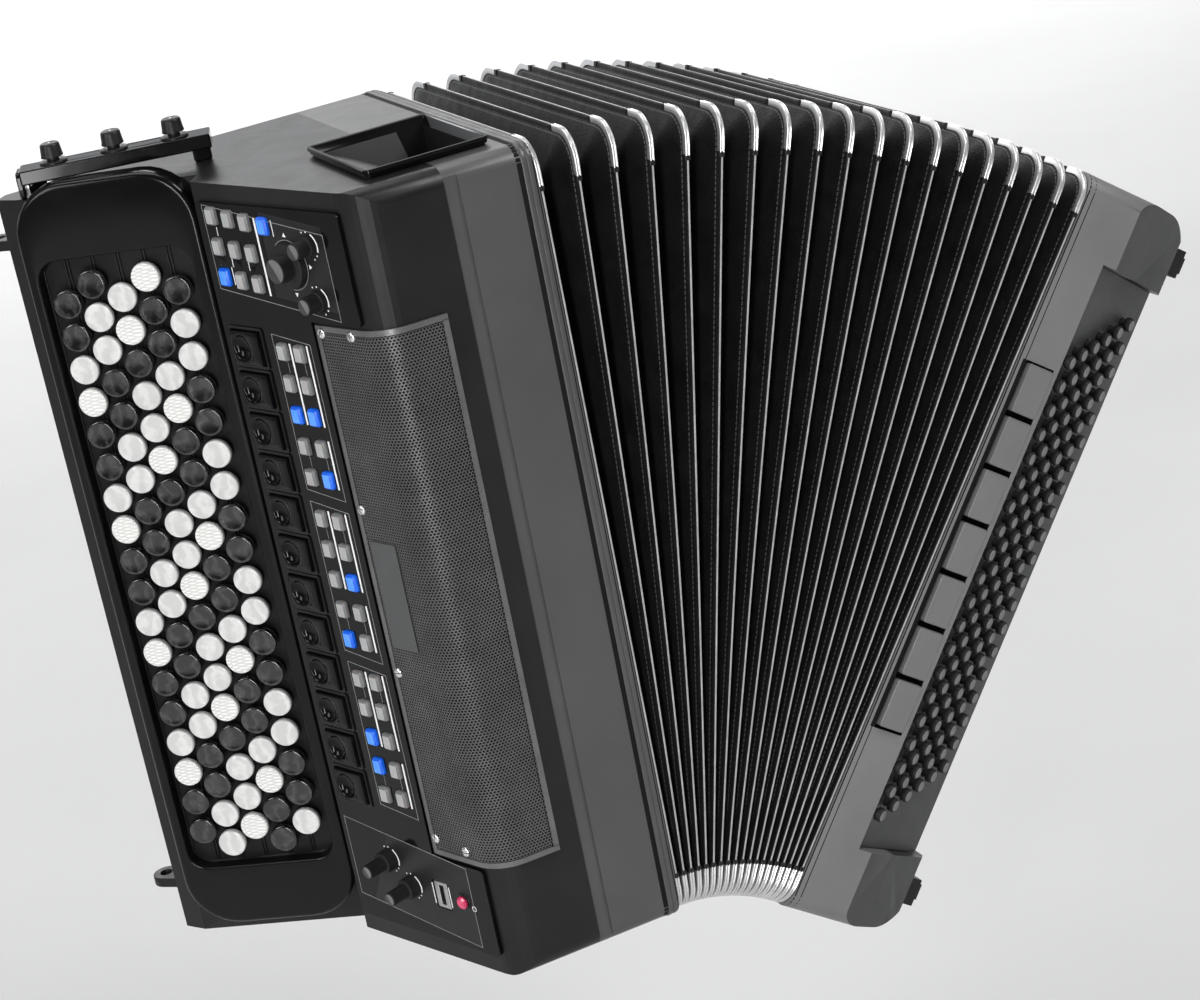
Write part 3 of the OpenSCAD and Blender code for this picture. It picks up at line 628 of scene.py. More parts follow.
# B black pearl, W white pearl, K knurled white; each row repeats downwards
KEY_ORDER = {"a": "BBWK", "b": "BWWB", "c": "WKBW", "d": "KBBW", "e": "BWWB"}
for k, row in enumerate("abcde", -2):
    count = 19 if abs(k) == 1 else 18
    shape = Shape()
    for i in range(count):
        z = KEY_MID_Z - KEY_PITCH * (i - (count - 1) / 2)
        kind = "BWK".index(KEY_ORDER[row][i % 4])
        spin = Matrix.Rotation(random.uniform(0, 6.28), 4, "Y")
        at = BED @ Matrix.Translation((ROW_MID + ROW_PITCH * k, 0, z)) @ spin
        shape.add(*lathe(KEY_PROFILE, 36), at, kind)
    shape.piece(f"treble_buttons_{row}", f"button_row_{row}", "pearl",
                [PEARL_BLACK, PEARL_WHITE, PEARL_KNURL_WITH_PAINTED_SHADE], 50, [f"button_row_{row}"])

# --- keyboard block ------------------------------------------------------------------
BED_W = 103.6
BED_T = 14.0
BED_Z0 = 9.0
WELL_U = (7.0, 95.0)
WELL_Z = (47.0, 419.0)
WELL_FLOOR = 8.6


def keyboard_block():
    outline = (0, BED_Z0, BED_W, CASING_H, 30)
    well = (WELL_U[0], WELL_Z[0], WELL_U[1] - WELL_U[0], WELL_Z[1] - WELL_Z[0], 12)
    loops = [xz(round_rect(*outline, 1.0, 8), BED_T), xz(round_rect(*outline, 0, 8), BED_T - 1)]
    edge = 3.5
    for k in range(6):
        a = math.radians(18 * k)
        loops.append(xz(round_rect(*outline, edge * (1 - math.cos(a)), 8), edge * (1 - math.sin(a))))
    for inset, y in ((-1.4, 0.0), (-0.6, 0.25), (-0.1, 0.9), (0, 1.8), (0, WELL_FLOOR - 0.8),
                     (0.8, WELL_FLOOR)):
        loops.append(xz(round_rect(*well, inset, 8), y))
    shape = Shape()
    shape.add(*skin(loops), BED)
    well_from = 10                  # the first band of faces that belongs to the well
    shape.kinds = [int(k >= well_from) for k in range(len(loops) - 1) for point in loops[0]] + [0, 1]
    shape.piece("keyboard_block", "treble", "keyboard_gloss", [BED_GLOSS, WELL], 40,
                ["keyboard_bed"])


keyboard_block()
ribs = Shape()
for k in range(-3, 4):
    for side in (-1.3, 0.5):
        u = ROW_MID + ROW_PITCH * k * 0.93 + side
        ribs.add(*soft_slab(u, WELL_Z[0] + 1.5, 0.8, WELL_Z[1] - WELL_Z[0] - 3, 0.4,
                            WELL_FLOOR - 1.2, WELL_FLOOR + 0.3, 0.3, 2), BED)
ribs.piece("keyboard_ribs", "treble", "keyboard_gloss", [SATIN_BLACK])

# --- control panel -------------------------------------------------------------------
FASCIA_T = 2.5
PAD_U = (50.5, 64.5)
PAD_Z0 = 362.0
PAD_PITCH = 17.9
FIELD_PITCH = 95.6
BLUE = {(0, 0, 2), (0, 1, 2), (0, 1, 4), (1, 0, 4), (1, 1, 2), (2, 0, 2), (2, 0, 3)}
UPPER_GREY = ((16, 435), (29.5, 434), (43, 433), (16, 418), (29.5, 417), (43, 416), (29.5, 400),
              (43, 399))
UPPER_BLUE = ((16, 401), (58, 432))
TAB_U = 22.0
TAB_Z0 = 362.0
TAB_PITCH = 23.9
TAB_COUNT = 12
ENCODER = (73, 411.7)
LEVEL_KNOBS = ((90.5, 423), (89.5, 393.3))
MIX_KNOBS = ((40, 55.7), (55, 42))
USB_AT = (80, 42)
POWER_AT = (98, 42.4)
PANEL_SKEW = -0.114                 # slope of the rows of pads across the panel
MARK_FRONT = -FASCIA_T - 0.12       # a printed mark stands a hair proud of the panel
MARK_BACK = -FASCIA_T + 0.1
FIELD_FRONT = -FASCIA_T - 0.05


def pad(shape, u, z):
    w, h, r = 8.0, 10.0, 1.6
    loops = []
    for inset, y in ((0, 2.4), (0, -3.4), (0.3, -4.0), (0.9, -4.4), (1.2, -4.9), (1.8, -5.0),
                     (2.6, -4.9)):
        loops.append(xz(round_rect(u - w / 2, z - h / 2, w, h, r, inset, 4), y))
    n = len(loops[0])
    verts, faces = skin(loops)
    shape.add(verts, faces, PANEL)
    # painted light: the front face rings and the front cap take the lighter copy of the silicone
    shape.kinds[-len(faces):] = [0] * (4 * n) + [1] * (2 * n) + [0, 1]


pads = {False: Shape(), True: Shape()}
for f in range(3):
    for c in range(2):
        for i in range(5):
            pad(pads[(f, c, i) in BLUE], PAD_U[c], PAD_Z0 - FIELD_PITCH * f - PAD_PITCH * i)
for u, z in UPPER_GREY:
    pad(pads[False], u, z)
for u, z in UPPER_BLUE:
    pad(pads[True], u, z)
pads[False].piece("rubber_pads_grey", "pads_grey", "pad_grey", [PAD_GREY, GREY_PAD_FACE_PAINTED_LIGHT], 40,
                  ["panel_buttons_grey"])
pads[True].piece("rubber_pads_blue", "pads_blue", "pad_blue", [PAD_BLUE, BLUE_PAD_FACE_PAINTED_LIGHT], 40,
                 ["panel_buttons_blue"])


def ring_mark(shape, u, z, r, line, steps=48, a0=0.0, a1=360.0, kind=0):
    """A printed ring or arc, a hair proud of the panel."""
    full = a1 - a0 >= 360
    count = steps if full else steps + 1
    loops = []
    for k in range(count):
        a = math.radians(a0 + (a1 - a0) * k / steps)
        d = (math.cos(a), math.sin(a))
        loops.append([(u + rr * d[0], y, z + rr * d[1])
                      for rr, y in ((r, MARK_BACK), (r + line, MARK_BACK), (r + line, MARK_FRONT),
                                    (r, MARK_FRONT))])
    shape.add(*skin(loops, closed=full), PANEL, kind)


def bar_mark(shape, u, z, w, h, kind=0):
    shape.add(*soft_slab(u - w / 2, z - h / 2, w, h, 0.2, MARK_FRONT, MARK_BACK, 0.05, 1), PANEL,
              kind)


def triangle_mark(shape, u, z, size, turn):
    third = 2.094
    points = [(u + size * math.cos(turn + third * k), z + size * math.sin(turn + third * k))
              for k in range(3)]
    shape.add(*skin([xz(points, MARK_BACK), xz(points, MARK_FRONT)]), PANEL)


def outline_mark(shape, u0, u1, low, high):
    """A printed frame whose top and bottom follow the slope of the rows."""
    line = 0.35
    fall = PANEL_SKEW * (u1 - u0)
    loops = []
    for inset, y in ((0, MARK_BACK), (0, MARK_FRONT), (line, MARK_FRONT), (line, MARK_BACK)):
        corners = ((u0 + inset, low + inset), (u1 - inset, low + fall + inset),
                   (u1 - inset, high + fall - inset), (u0 + inset, high - inset))
        loops.append(xz(corners, y))
    shape.add(*skin(loops, closed=True), PANEL, 1)


marks = Shape()
for f in range(3):
    top = PAD_Z0 - FIELD_PITCH * f
    outline_mark(marks, 43.2, 74.2, top - PAD_PITCH * 4 - 8, top + 9.5)
    for c, first, last in ((0, 0, 2), (1, 0, 2), (1, 3, 4)):
        middle = top - PAD_PITCH * (first + last) / 2
        bar_mark(marks, PAD_U[c] + 6.2, middle, 1.3, PAD_PITCH * (last - first) + 10)
    for c, i in ((0, 0), (1, 0), (0, 3), (1, 3)):
        bar_mark(marks, PAD_U[c] + 1.5, top - PAD_PITCH * (i + 0.5), 0.35, 6.5, 1)
    for c, i in ((0, 1), (1, 1), (0, 4)):
        bar_mark(marks, PAD_U[c] - 5.4, top - PAD_PITCH * i + 1, 0.6, 6.0, 1)
outline_mark(marks, 8.7, 104.4, 393.8, 440.9)
outline_mark(marks, 6.5, 105.6, 26.0, 76.0)
bar_mark(marks, 50.7, 414.5, 1.4, 43.0)
bar_mark(marks, 64.5, 431, 0.6, 9.0)
bar_mark(marks, 22.6, 402, 0.6, 10.0)
for u, z in ((16, 426.5), (23.0, 409.5), (36.5, 408.5)):
    bar_mark(marks, u + 1.5, z, 0.5, 5.0)
ring_mark(marks, *ENCODER, 13.4, 0.4, kind=1)
for k in range(4):
    a = math.radians(90 * k)
    triangle_mark(marks, ENCODER[0] + 16.0 * math.cos(a), ENCODER[1] + 16.0 * math.sin(a), 1.5, a)
for u, z in LEVEL_KNOBS + MIX_KNOBS:
    ring_mark(marks, u, z, 7.3, 0.9, 24, -20, 60)
    for a in (-62, -38, 85, 110):
        d = math.radians(a)
        ring_mark(marks, u + 7.8 * math.cos(d), z + 7.8 * math.sin(d), 0.05, 0.45, 10)
for side in (-1, 1):
    bar_mark(marks, USB_AT[0] + side * 6.8, USB_AT[1], 0.7, 13)
ring_mark(marks, POWER_AT[0] + 7.5, POWER_AT[1] - 3, 1.3, 0.4, 24)
marks.piece("panel_marks", "treble", "fascia_gloss", [PRINT, PRINT_GREY])

plates = Shape()
usb_left, usb_right = USB_AT[0] - 6, USB_AT[0] + 6
for field in ([(55.5, 392.9), (103.9, 387.6), (103.9, 434.0), (55.5, 439.5)],
              [(18.0, 24.9), (usb_left, 18.4), (usb_left, 68.2), (68.0, 68.8), (42.0, 71.8)],
              [(usb_right, 17.3), (105.2, 15.2), (105.2, 64.4), (usb_right, 66.6)],
              [(usb_left, 18.4), (usb_right, 17.3), (usb_right, 33.0), (usb_left, 33.0)],
              [(usb_left, 51.0), (usb_right, 51.0), (usb_right, 66.6), (usb_left, 68.2)]):
    plates.add(*skin([xz(field, y) for y in (MARK_BACK, FIELD_FRONT)]), PANEL)
plates.piece("panel_satin_fields", "treble", "fascia_gloss", [PANEL_SATIN])

tab_frames = Shape()
for i in range(TAB_COUNT):
    z = TAB_Z0 - TAB_PITCH * i
    tab_frames.add(*hollow_frame(TAB_U - 14, z - 11.6, 28, 23.2, 1.6, 1.5, -FASCIA_T - 0.9,
                                 MARK_BACK), PANEL)
tab_frames.piece("tab_frames", "treble", "fascia_gloss", [SATIN_BLACK])


def tab(shape, z):
    """A flat tab with round edges and a deep oval finger dish."""
    half_w, half_h = 11.5, 9.5
    dish_x, dish_a, dish_b = -3.0, 7.2, 7.6
    front = -5.5
    corners = [math.atan2(h, w - dish_x) for w in (-half_w, half_w) for h in (-half_h, half_h)]
    angles = sorted(corners + [2 * math.pi * k / 40 - math.pi for k in range(40)])

    def plate(inset, y):
        loop = []
        for a in angles:
            c, d = math.cos(a), math.sin(a)
            side = (half_w - dish_x if c > 0 else half_w + dish_x) - inset
            reach = min(side / max(abs(c), 1e-6), (half_h - inset) / max(abs(d), 1e-6))
            loop.append((TAB_U + dish_x + reach * c, y, z + reach * d))
        return loop

    def oval(scale, y):
        return [(TAB_U + dish_x + dish_a * scale * math.cos(a), y, z + dish_b * scale * math.sin(a))
                for a in angles]

    loops = [plate(0, 2.0), plate(0, front + 0.7), plate(0.2, front + 0.2), plate(0.7, front),
             oval(1.05, front), oval(1.0, front + 0.15), oval(0.95, front + 0.7),
             oval(0.86, front + 1.8), oval(0.68, front + 2.8), oval(0.4, front + 3.4),
             oval(0.15, front + 3.6)]
    shape.add(*skin(loops), PANEL)


tabs = Shape()
for i in range(TAB_COUNT):
    tab(tabs, TAB_Z0 - TAB_PITCH * i)
tabs.piece("register_paddles", "register_tabs", "tab_gloss", [GLOSS], 40, ["register_tabs"])


def panel_at(u, z):
    return PANEL @ Matrix.Translation((u, 0, z))


def half_disc(shape, place, r, y, turn, kind):
    """Half of a knob's end face, so that its two halves can carry a painted lit tone and a painted
    shaded tone.
    """
    points = [(r * math.cos(turn + math.pi * k / 16), r * math.sin(turn + math.pi * k / 16))
              for k in range(17)]
    shape.add(*skin([xz(points, y + 0.2), xz(points, y - 0.12)]), place, kind)


def knob(name, body, at, stages):
    """stages: (radius, from y, to y) from the panel outwards, each with a fluted side."""
    shape = Shape()
    place = panel_at(*at)
    for r, y0, y1 in stages:
        profile = [(0.05, y0), (r, y0), (r, y0 - 0.5), (r - 0.15, y1 + 0.9), (r - 0.35, y1 + 0.35),
                   (r - 0.8, y1), (0.05, y1)]
        shape.add(*lathe(profile, 60, 0.25, y1 + 0.6, y0 - 0.4), place, 0)
    r, y0, y1 = stages[-1]
    split = 2.1                     # angle of the line between the painted lit half and the painted shaded half of the face
    half_disc(shape, place, r - 0.9, y1, split, 1)
    half_disc(shape, place, r - 0.9, y1, split + math.pi, 2)
    shape.add(*lathe([(0.05, -FASCIA_T), (3.2, -FASCIA_T), (3.2, 8.0), (0.05, 8.0)], 20), place, 0)
    shape.piece(name, body, "knob_black", [RUBBER_BLACK, PAINTED_SHADE_KNOB_HALF, PAINTED_LIGHT_KNOB_HALF], 40, [body])


KNOB_FOOT = -FASCIA_T - 0.3
LEVEL_STAGES = ((6.0, KNOB_FOOT, -5.0), (5.0, -4.9, -12.9))
MIX_STAGES = ((6.5, KNOB_FOOT, -9.0), (4.3, -8.9, -20.4))
knob("encoder_dial", "encoder_wheel", ENCODER, ((12.7, KNOB_FOOT, -6.0), (7.3, -5.9, -13.4)))
knob("level_dial_top", "level_knob_top", LEVEL_KNOBS[0], LEVEL_STAGES)
knob("level_dial_bottom", "level_knob_bottom", LEVEL_KNOBS[1], LEVEL_STAGES)
knob("mix_dial_left", "mix_knob_left", MIX_KNOBS[0], MIX_STAGES)
knob("mix_dial_right", "mix_knob_right", MIX_KNOBS[1], MIX_STAGES)
power = Shape()
power.add(*lathe([(0.05, 4), (3.6, 4), (3.6, -3.4), (3.9, -3.6), (3.9, -4.6), (2.8, -5.5),
                  (0.05, -5.5)], 10), panel_at(*POWER_AT), 0)
power.piece("power_cap", "power_button", "power_red", [POWER_RED], 15, ["power_button"])
collar = Shape()
collar.add(*lathe([(4.2, -1.5), (5.2, -1.5), (5.2, -FASCIA_T - 0.3), (4.9, -FASCIA_T - 0.6),
                   (4.2, -FASCIA_T - 0.6)], 36), panel_at(*POWER_AT))
collar.piece("power_collar", "treble", "knob_black", [SATIN_BLACK])

# --- grille --------------------------------------------------------------------------
GRILLE_Z = (68.0, 379.0)
GRILLE_U = 80.0
GRILLE_X = -63.0
TANGENT = RIDGE_R * math.tan(-PANEL_TURN / 2)
RIDGE_C = (-RIDGE_X + TANGENT, RIDGE_R)
LEN_PANEL = PANEL_W - TANGENT - GRILLE_U
LEN_ARC = RIDGE_R * -PANEL_TURN
LEN_FRONT = GRILLE_X - RIDGE_C[0]
GRILLE_LEN = LEN_PANEL + LEN_ARC + LEN_FRONT


def over_ridge(s, z, out):
    """A point s along the grille from its edge on the panel, out from the casing."""
    if s <= LEN_PANEL:
        u = GRILLE_U + s
        c, d = math.cos(PANEL_TURN), math.sin(PANEL_TURN)
        return (JUNCTION[0] + u * c + out * d, JUNCTION[1] + u * d - out * c, z)
    if s <= LEN_PANEL + LEN_ARC:
        a = PANEL_TURN - math.pi / 2 + (s - LEN_PANEL) / RIDGE_R
        r = RIDGE_R + out
        return (RIDGE_C[0] + r * math.cos(a), RIDGE_C[1] + r * math.sin(a), z)
    return (RIDGE_C[0] + s - LEN_PANEL - LEN_ARC, -out, z)


def strip_over_ridge(z0, z1, s0, s1, lo, hi, steps=40):
    loops = []
    for k in range(steps + 1):
        s = s0 + (s1 - s0) * k / steps
        loops.append([over_ridge(s, z, out) for z, out in ((z0, lo), (z0, hi), (z1, hi), (z1, lo))])
    return skin(loops)


def grille():
    border = 3.2
    cell = 1.1                      # centre to corner of a hexagon
    hole = 0.66                     # size of a hole as a part of its cell
    sheet_back, sheet_front = 0.5, 1.45
    step_s, step_z = cell * math.sqrt(3), cell * 1.5
    cols = int((GRILLE_LEN - 2 * border) / step_s)
    rows = int((GRILLE_Z[1] - GRILLE_Z[0] - 2 * border) / step_z)
    s_start = (GRILLE_LEN - cols * step_s) / 2
    z_start = GRILLE_Z[0] + (GRILLE_Z[1] - GRILLE_Z[0] - rows * step_z) / 2
    verts, faces, seen = [], [], {}

    def corner(s, z, out):
        key = (round(s * 50), round(z * 50), out)
        if key not in seen:
            seen[key] = len(verts)
            verts.append(over_ridge(s, z, out))
        return seen[key]

    def hexagon(s, z, r, out):
        return [corner(s + r * math.cos(a), z + r * math.sin(a), out) for a in angles]

    angles = [math.radians(30 + 60 * k) for k in range(6)]
    for r in range(rows):
        for c in range(cols):
            s = s_start + step_s * (c + (0.5 if r % 2 else 0) + 0.25)
            z = z_start + step_z * (r + 0.5)
            if s > GRILLE_LEN - border * 0.8:
                continue
            rims = hexagon(s, z, cell, sheet_front)
            tops = hexagon(s, z, cell * hole, sheet_front)
            lows = hexagon(s, z, cell * hole, sheet_back)
            for k in range(6):
                j = (k + 1) % 6
                faces.append((rims[k], rims[j], tops[j], tops[k]))
                faces.append((tops[k], tops[j], lows[j], lows[k]))
    shape = Shape().add(verts, faces)
    z0, z1 = GRILLE_Z
    for low, high in ((z0, z0 + border), (z1 - border, z1)):
        shape.add(*strip_over_ridge(low, high, 0, GRILLE_LEN, 0.02, 1.5), kind=1)
    for s0, s1 in ((0, border), (GRILLE_LEN - border, GRILLE_LEN)):
        shape.add(*strip_over_ridge(z0 + border * 0.9, z1 - border * 0.9, s0, s1, 0.02, 1.5, 2),
                  kind=1)
    shape.piece("perforated_grille", "treble", "grille_metal", [GRILLE, GRILLE_RIM], 30,
                ["speaker_grille"])
    felt = Shape().add(*strip_over_ridge(z0 + 2, z1 - 2, 1, GRILLE_LEN - 1, 0.05, 0.45))
    felt.piece("grille_felt", "treble", "speaker_black", [FELT])


grille()


def screws():
    dome = [(0.05, -1.5), (3.0, -1.5), (3.0, -1.9), (2.7, -2.4), (2.0, -2.75), (1.1, -2.9),
            (0.05, -2.95)]
    shape = Shape()
    places = [(84.5, z) for z in (78.5, 180, 275.5, 375)] + [(108, 75.5), (108, 375)]
    for n, (u, z) in enumerate(places):
        turn = Matrix.Rotation(0.4 + n * 1.1, 4, "Y")
        for side in (-1, 1):
            verts, faces = lathe(dome, 32)
            bm = bmesh.new()
            made = [bm.verts.new(v) for v in verts]
            for f in faces:
                bm.faces.new([made[k] for k in f])
            cut = bmesh.ops.bisect_plane(bm, geom=bm.verts[:] + bm.edges[:] + bm.faces[:],
                                         plane_co=(side * 0.28, 0, 0), plane_no=(-side, 0, 0),
                                         clear_outer=True)
            edges = [g for g in cut["geom_cut"] if isinstance(g, bmesh.types.BMEdge)]
            bmesh.ops.contextual_create(bm, geom=edges)
            bm.verts.index_update()
            shape.add([tuple(v.co) for v in bm.verts],
                      [[v.index for v in f.verts] for f in bm.faces],
                      panel_at(u, z) @ turn, 0)
            bm.free()
        # painted shade: a black disc under the two nickel halves darkens the bottom of the slot
        shape.add(*lathe([(0.05, -1.5), (2.6, -1.5), (2.6, -2.0), (0.05, -2.0)], 24),
                  panel_at(u, z), 1)
    shape.piece("slotted_screws", "treble", "nickel", [SCREW, MATTE_BLACK_AND_PAINTED_SHADE], 40, ["grille_screws"])


screws()

# --- chin switches -------------------------------------------------------------------
CHIN_Z = CASING_H + 9.3


def upright_lathe(profile, steps=40):
    verts, faces = lathe(profile, steps)
    return [(x, -z, y) for x, y, z in verts], faces


switches = Shape()
washers = Shape()
for k in (-1, 0, 1):
    at = CHIN @ Matrix.Translation((33 * k, 0, CHIN_Z))
    switches.add(*upright_lathe([(0.05, 3.7), (3.4, 3.7), (3.4, 11.2), (6.1, 11.2), (6.1, 11.8),
                                 (5.9, 12.4), (5.4, 17.4), (5.1, 18.2), (4.4, 18.7),
                                 (0.05, 18.5)]), at, 0)
    switches.add(*upright_lathe([(0.05, 18.4), (0.7, 18.4), (0.7, 18.75), (0.05, 18.8)], 14),
                 at, 1)
    washers.add(*upright_lathe([(3.8, 8.0), (7.6, 8.0), (7.6, 8.7), (7.2, 9.2), (4.6, 9.2),
                                (3.8, 8.8)]), at)
switches.piece("chin_switch_caps", "chin_switches", "tab_gloss", [SATIN_BLACK, PRINT], 40,
               ["chin_switches"])
washers.piece("chin_washers", "treble", "tab_gloss", [SATIN_BLACK])

# --- bass studs ----------------------------------------------------------------------
STUD_PROFILE = [(0.05, 1.35), (2.7, 1.25), (3.2, 1.0), (3.6, 1.05), (4.05, 1.5), (4.2, 2.1),
                (4.2, 4.6), (3.9, 4.9), (2.5, 4.9), (2.5, 14.0), (0.05, 14.0)]
STUD_U = 52.8                       # the outermost column, across the board
STUD_Z = 384.4                      # its uppermost stud
STUD_SIDES = 24
COLUMN_PITCH = 11.2
COLUMN_DROP = 6.9
STUD_PITCH = 14.8
for c in range(6):
    shape = Shape()
    for i in range(20):
        z = STUD_Z - COLUMN_DROP * c - STUD_PITCH * i
        at = SLOPE @ Matrix.Translation((STUD_U - COLUMN_PITCH * c, 0, z))
        verts, faces = lathe(STUD_PROFILE, STUD_SIDES)
        shape.add(verts, faces, at)
        sides = [int(k < 2) for k in range(len(STUD_PROFILE) - 1) for side in range(STUD_SIDES)]
        shape.kinds[-len(faces):] = sides + [1, 0]
    shape.piece(f"bass_stud_column_{c + 1}", f"bass_studs_{c + 1}", "stud_black",
                [RUBBER_BLACK, STUD_FACE], 45, [f"bass_studs_{c + 1}"])

# --- funnel, lips and the register well's painted shade ------------------------------
FUNNEL_X = (-84.0, -13.0)
FUNNEL_Y = (18.0, 106.0)


def funnel():
    outline = (FUNNEL_X[0], FUNNEL_Y[0], FUNNEL_X[1] - FUNNEL_X[0], FUNNEL_Y[1] - FUNNEL_Y[0], 4.0)
    steps = [(2.4, 0.0), (2.4, 1.2), (1.2, 1.3), (1.2, 2.7), (1.5, 2.9), (0.3, 3.0), (0.0, 3.3),
             (0.0, 4.5), (0.5, 5.0), (2.0, 5.0), (2.5, 4.6), (2.7, 4.0), (5.3, 0.3), (5.3, -24.0)]
    loops = [xy(round_rect(*outline, inset), CASING_H + z) for inset, z in steps]
    shape = Shape().add(*skin(loops, cap_first=False))
    bands_count = len(steps) - 1
    shape.kinds = [int(k == bands_count - 1) for k in range(bands_count) for point in loops[0]] + [1]
    x0, x1 = FUNNEL_X[0] + 5.4, FUNNEL_X[0] + 48
    y0, y1 = FUNNEL_Y[0] + 5.4, FUNNEL_Y[1] - 5.4
    curve = [(x0 + (x1 - x0) * t, CASING_H + 0.2 - 22 * t ** 1.25) for t in
             [k / 10 for k in range(11)]]
    ramp_t = 1.2
    rows = [[(x, y0, z), (x, y1, z), (x, y1, z - ramp_t), (x, y0, z - ramp_t)] for x, z in curve]
    shape.add(*skin(rows), kind=2)
    wall = [(x0, CASING_H + 0.2), (x1 + 2, CASING_H + 0.2), (x1 + 8, CASING_H - 23),
            (x0, CASING_H - 23)]
    shape.add(*skin([[(x, y, z) for x, z in wall] for y in (y1 - 0.5, y1 - 0.05)]), kind=2)
    shape.piece("funnel_bezel", "treble", "tab_gloss", [GLOSS, MATTE_BLACK_AND_PAINTED_SHADE, RAMP], 30, ["top_funnel"])


def bands(name, place, profiles, body, slot, materials):
    """Rings that follow a casing's outline: each profile is (x, out) points and a kind."""
    shape = Shape()
    for points, kind in profiles:
        loops = [yz(casing_ring(-out, 10.0), x) for x, out in points]
        shape.add(*skin(loops, closed=True), place, kind)
    shape.piece(name, body, slot, materials, 40)


def ridge_band(x0, x1, out):
    return [(x0, -0.6), (x0, out * 0.5), (x0 + 0.4, out), (x1 - 0.4, out), (x1, out * 0.5),
            (x1, -0.6)]


funnel()
TREBLE_BANDS = [(ridge_band(-9.4, -6.6, 0.07), 1), (ridge_band(-6.5, -3.7, 0.6), 0),
                (ridge_band(-3.3, -0.7, 0.45), 0), (ridge_band(-0.6, -0.05, 0.05), 1)]
BASS_BANDS = [(ridge_band(0.3, 1.2, 0.07), 1), (ridge_band(4.4, 5.0, 0.06), 1)]
bands("treble_lip", PLACE, TREBLE_BANDS, "treble", "strip_satin", [STRIP, MATTE_BLACK_AND_PAINTED_SHADE])
bands("bass_lip", BASS, BASS_BANDS, "bass", "bass_satin", [BASS_SATIN_WITH_PAINTED_SHADE, MATTE_BLACK_AND_PAINTED_SHADE])
# painted shade: black walls and a black floor in the register well, and a flat black strip beside it,
# stand in for the shade in the gaps between the registers and in the groove beside them
painted_shade_lining = Shape()
painted_shade_lining.add(*hollow_frame(6.0, 116.0, 20.0, 226.0, 0.4, 0.25, -0.02, 8.9), BASS)
painted_shade_lining.add(*soft_slab(6.1, 116.1, 19.8, 225.8, 0.4, 8.6, 8.95, 0.1, 2), BASS)
painted_shade_lining.add(*soft_slab(3.2, 116.1, 2.7, 225.8, 0.3, -0.09, 0.1, 0.04, 2), BASS)
painted_shade_lining.piece("register_well_painted_shade", "bass", "bass_satin", [MATTE_BLACK_AND_PAINTED_SHADE])
bracket = Shape()
leg = [round_rect(-8, CASING_H + 0.7, 16, 16, 4, inset, 5) for inset in (0.8, 0, 0, 0.8)]
bracket.add(*skin([yz(points, x) for points, x in zip(leg, (-54.0, -53.3, -51.7, -51.0))]), CHIN)
bracket.piece("chin_bracket", "treble", "tab_gloss", [GLOSS])

# --- CAD nodes that stay -------------------------------------------------------------
for node_name, material, width in (
        ("treble_casing", CASING, 1.6), ("treble_strip", STRIP, 0.9), ("chin_bar", GLOSS, 1.5),
        ("speakers", SPEAKER, 0), ("circuit_board", BOARD_GREEN, 0),
        ("bass_casing", BASS_SATIN_WITH_PAINTED_SHADE, 1.2), ("bass_cover", BASS_DARK, 2.0),
        ("bass_registers", REGISTER, 1.2), ("air_button", SATIN_BLACK, 1.0),
        ("hand_strap_blocks", SATIN_BLACK, 1.5)):
    finish_node(node_name, material, width)
for node_name, material, width in (
        ("treble_back_cover", SATIN_BLACK, 0.5), ("display_window", WINDOW, 0.25),
        ("control_fascia", GLOSS, 0.4), ("usb_socket", STEEL, 0.5),
        ("strap_lugs", SATIN_BLACK, 0.6), ("bass_board", BOARD_SATIN, 0.4)):
    finish_node(node_name, material, width, 2)

# --- camera, floor and light ---------------------------------------------------------
scene = bpy.context.scene
camera_data = bpy.data.cameras.new("camera")
camera_data.lens = 89.80
camera_data.sensor_width = 36
camera = bpy.data.objects.new("camera", camera_data)
scene.collection.objects.link(camera)
right = Vector((0.88526, -0.42851, -0.18081))
up = Vector((0.30615, 0.24422, 0.92013))
back = right.cross(up)
turn = Matrix((right, up, back)).transposed().to_4x4()
camera.matrix_world = Matrix.Translation((-0.44771, -1.60902, 0.58145)) @ turn
scene.camera = camera

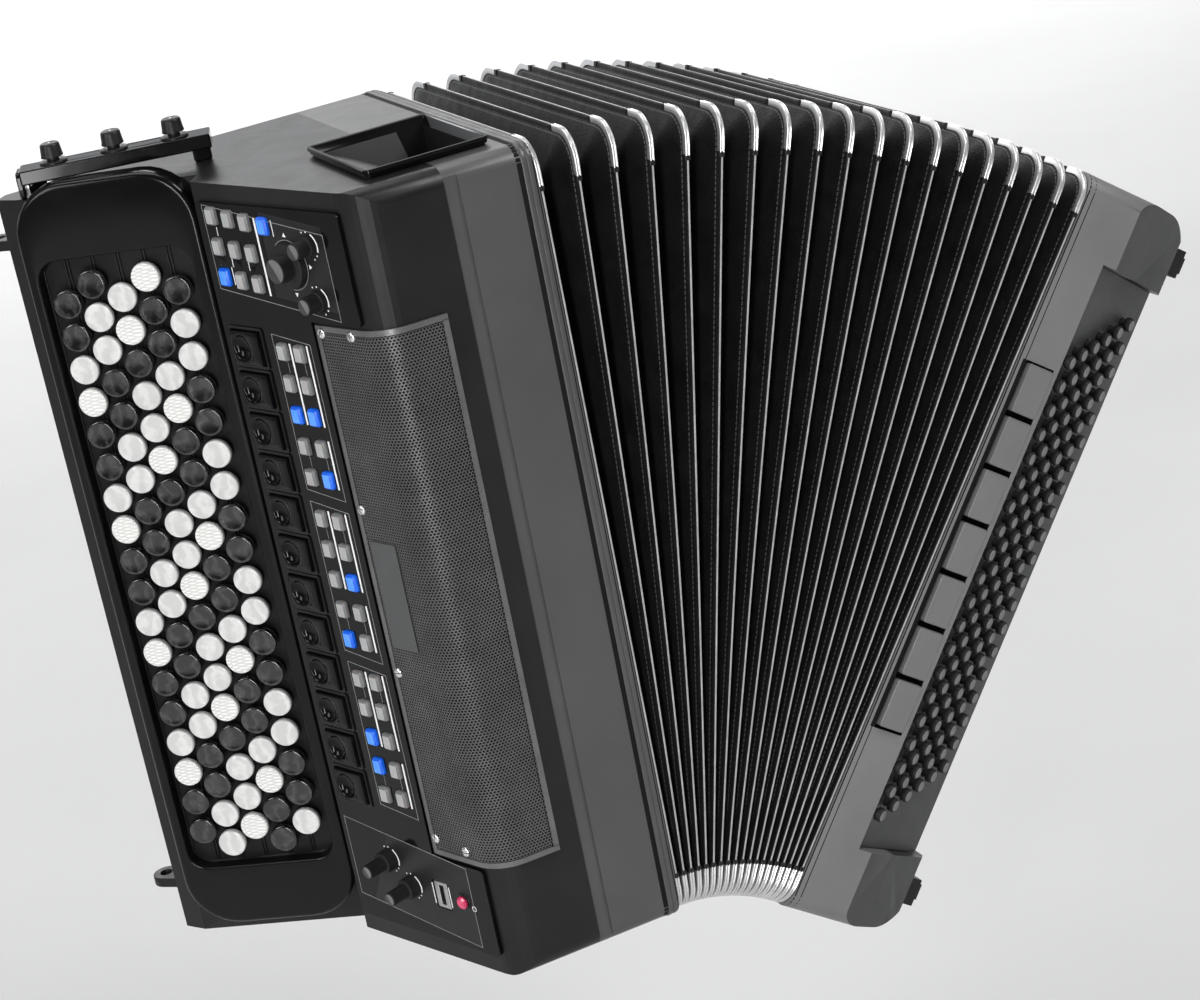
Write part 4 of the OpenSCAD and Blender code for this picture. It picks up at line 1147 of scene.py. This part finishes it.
low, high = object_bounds()
centre = (Vector(low) + Vector(high)) / 2
floor_mesh = bpy.data.meshes.new("floor")
size = 14.0
floor_drop = 0.22                   # the part hangs this far above the floor
floor_z = low[2] - floor_drop
floor_mesh.from_pydata([(-size, -size, floor_z), (size, -size, floor_z), (size, size, floor_z),
                        (-size, size, floor_z)], [], [(0, 1, 2, 3)])
FLOOR = surface("pale_floor", grey(0.55), grey(0.59), (0.75, 0.85), 1.5, 60, 0.02, level=0.2)
floor_mesh.materials.append(FLOOR)
floor = bpy.data.objects.new("floor", floor_mesh)
scene.collection.objects.link(floor)


def area_light(name, place, power, size_x, size_y, target=None):
    data = bpy.data.lights.new(name, "AREA")
    data.shape = "RECTANGLE"
    data.size = size_x
    data.size_y = size_y
    data.energy = power
    ob = bpy.data.objects.new(name, data)
    ob.location = place
    aim = (target or centre) - Vector(place)
    ob.rotation_euler = aim.to_track_quat("-Z", "Y").to_euler()
    scene.collection.objects.link(ob)


area_light("key", (1.9, -1.7, 2.2), 62, 1.2, 1.2)
area_light("fill", (-2.6, -0.8, 1.6), 40, 1.0, 2.0)
area_light("strip", (-1.25, -2.1, 0.35), 30, 0.3, 1.6)
area_light("top", (0.1, 0.5, 2.8), 42, 2.4, 1.8)
area_light("rear", (-0.6, 2.8, 2.0), 12, 2.4, 1.2)
area_light("backdrop", (1.6, 4.4, 2.4), 260, 5.0, 3.0, Vector((1.8, 4.8, 0)))


def studio_world():
    """A dim room whose air is bright low down at the back, as a lit backdrop would be."""
    world = bpy.data.worlds.new("studio")
    world.use_nodes = True
    tree = world.node_tree
    where = tree.nodes.new("ShaderNodeTexCoord").outputs["Generated"]
    parts = tree.nodes.new("ShaderNodeSeparateXYZ")
    tree.links.new(where, parts.inputs["Vector"])
    depth = remap(tree, parts.outputs["Y"], 0.0, 1.0, 0.2, 0.75)
    height = remap(tree, parts.outputs["Z"], 1.0, 0.0, 0.05, 0.55)
    glow = combined(tree, "MULTIPLY", depth, height)
    background = tree.nodes["Background"]
    background.inputs["Color"].default_value = (0.95, 0.97, 1.0, 1)
    tree.links.new(remap(tree, glow, 0.14, 0.95, 0.0, 1.0), background.inputs["Strength"])
    return world


scene.world = studio_world()
scene.view_settings.view_transform = "Standard"
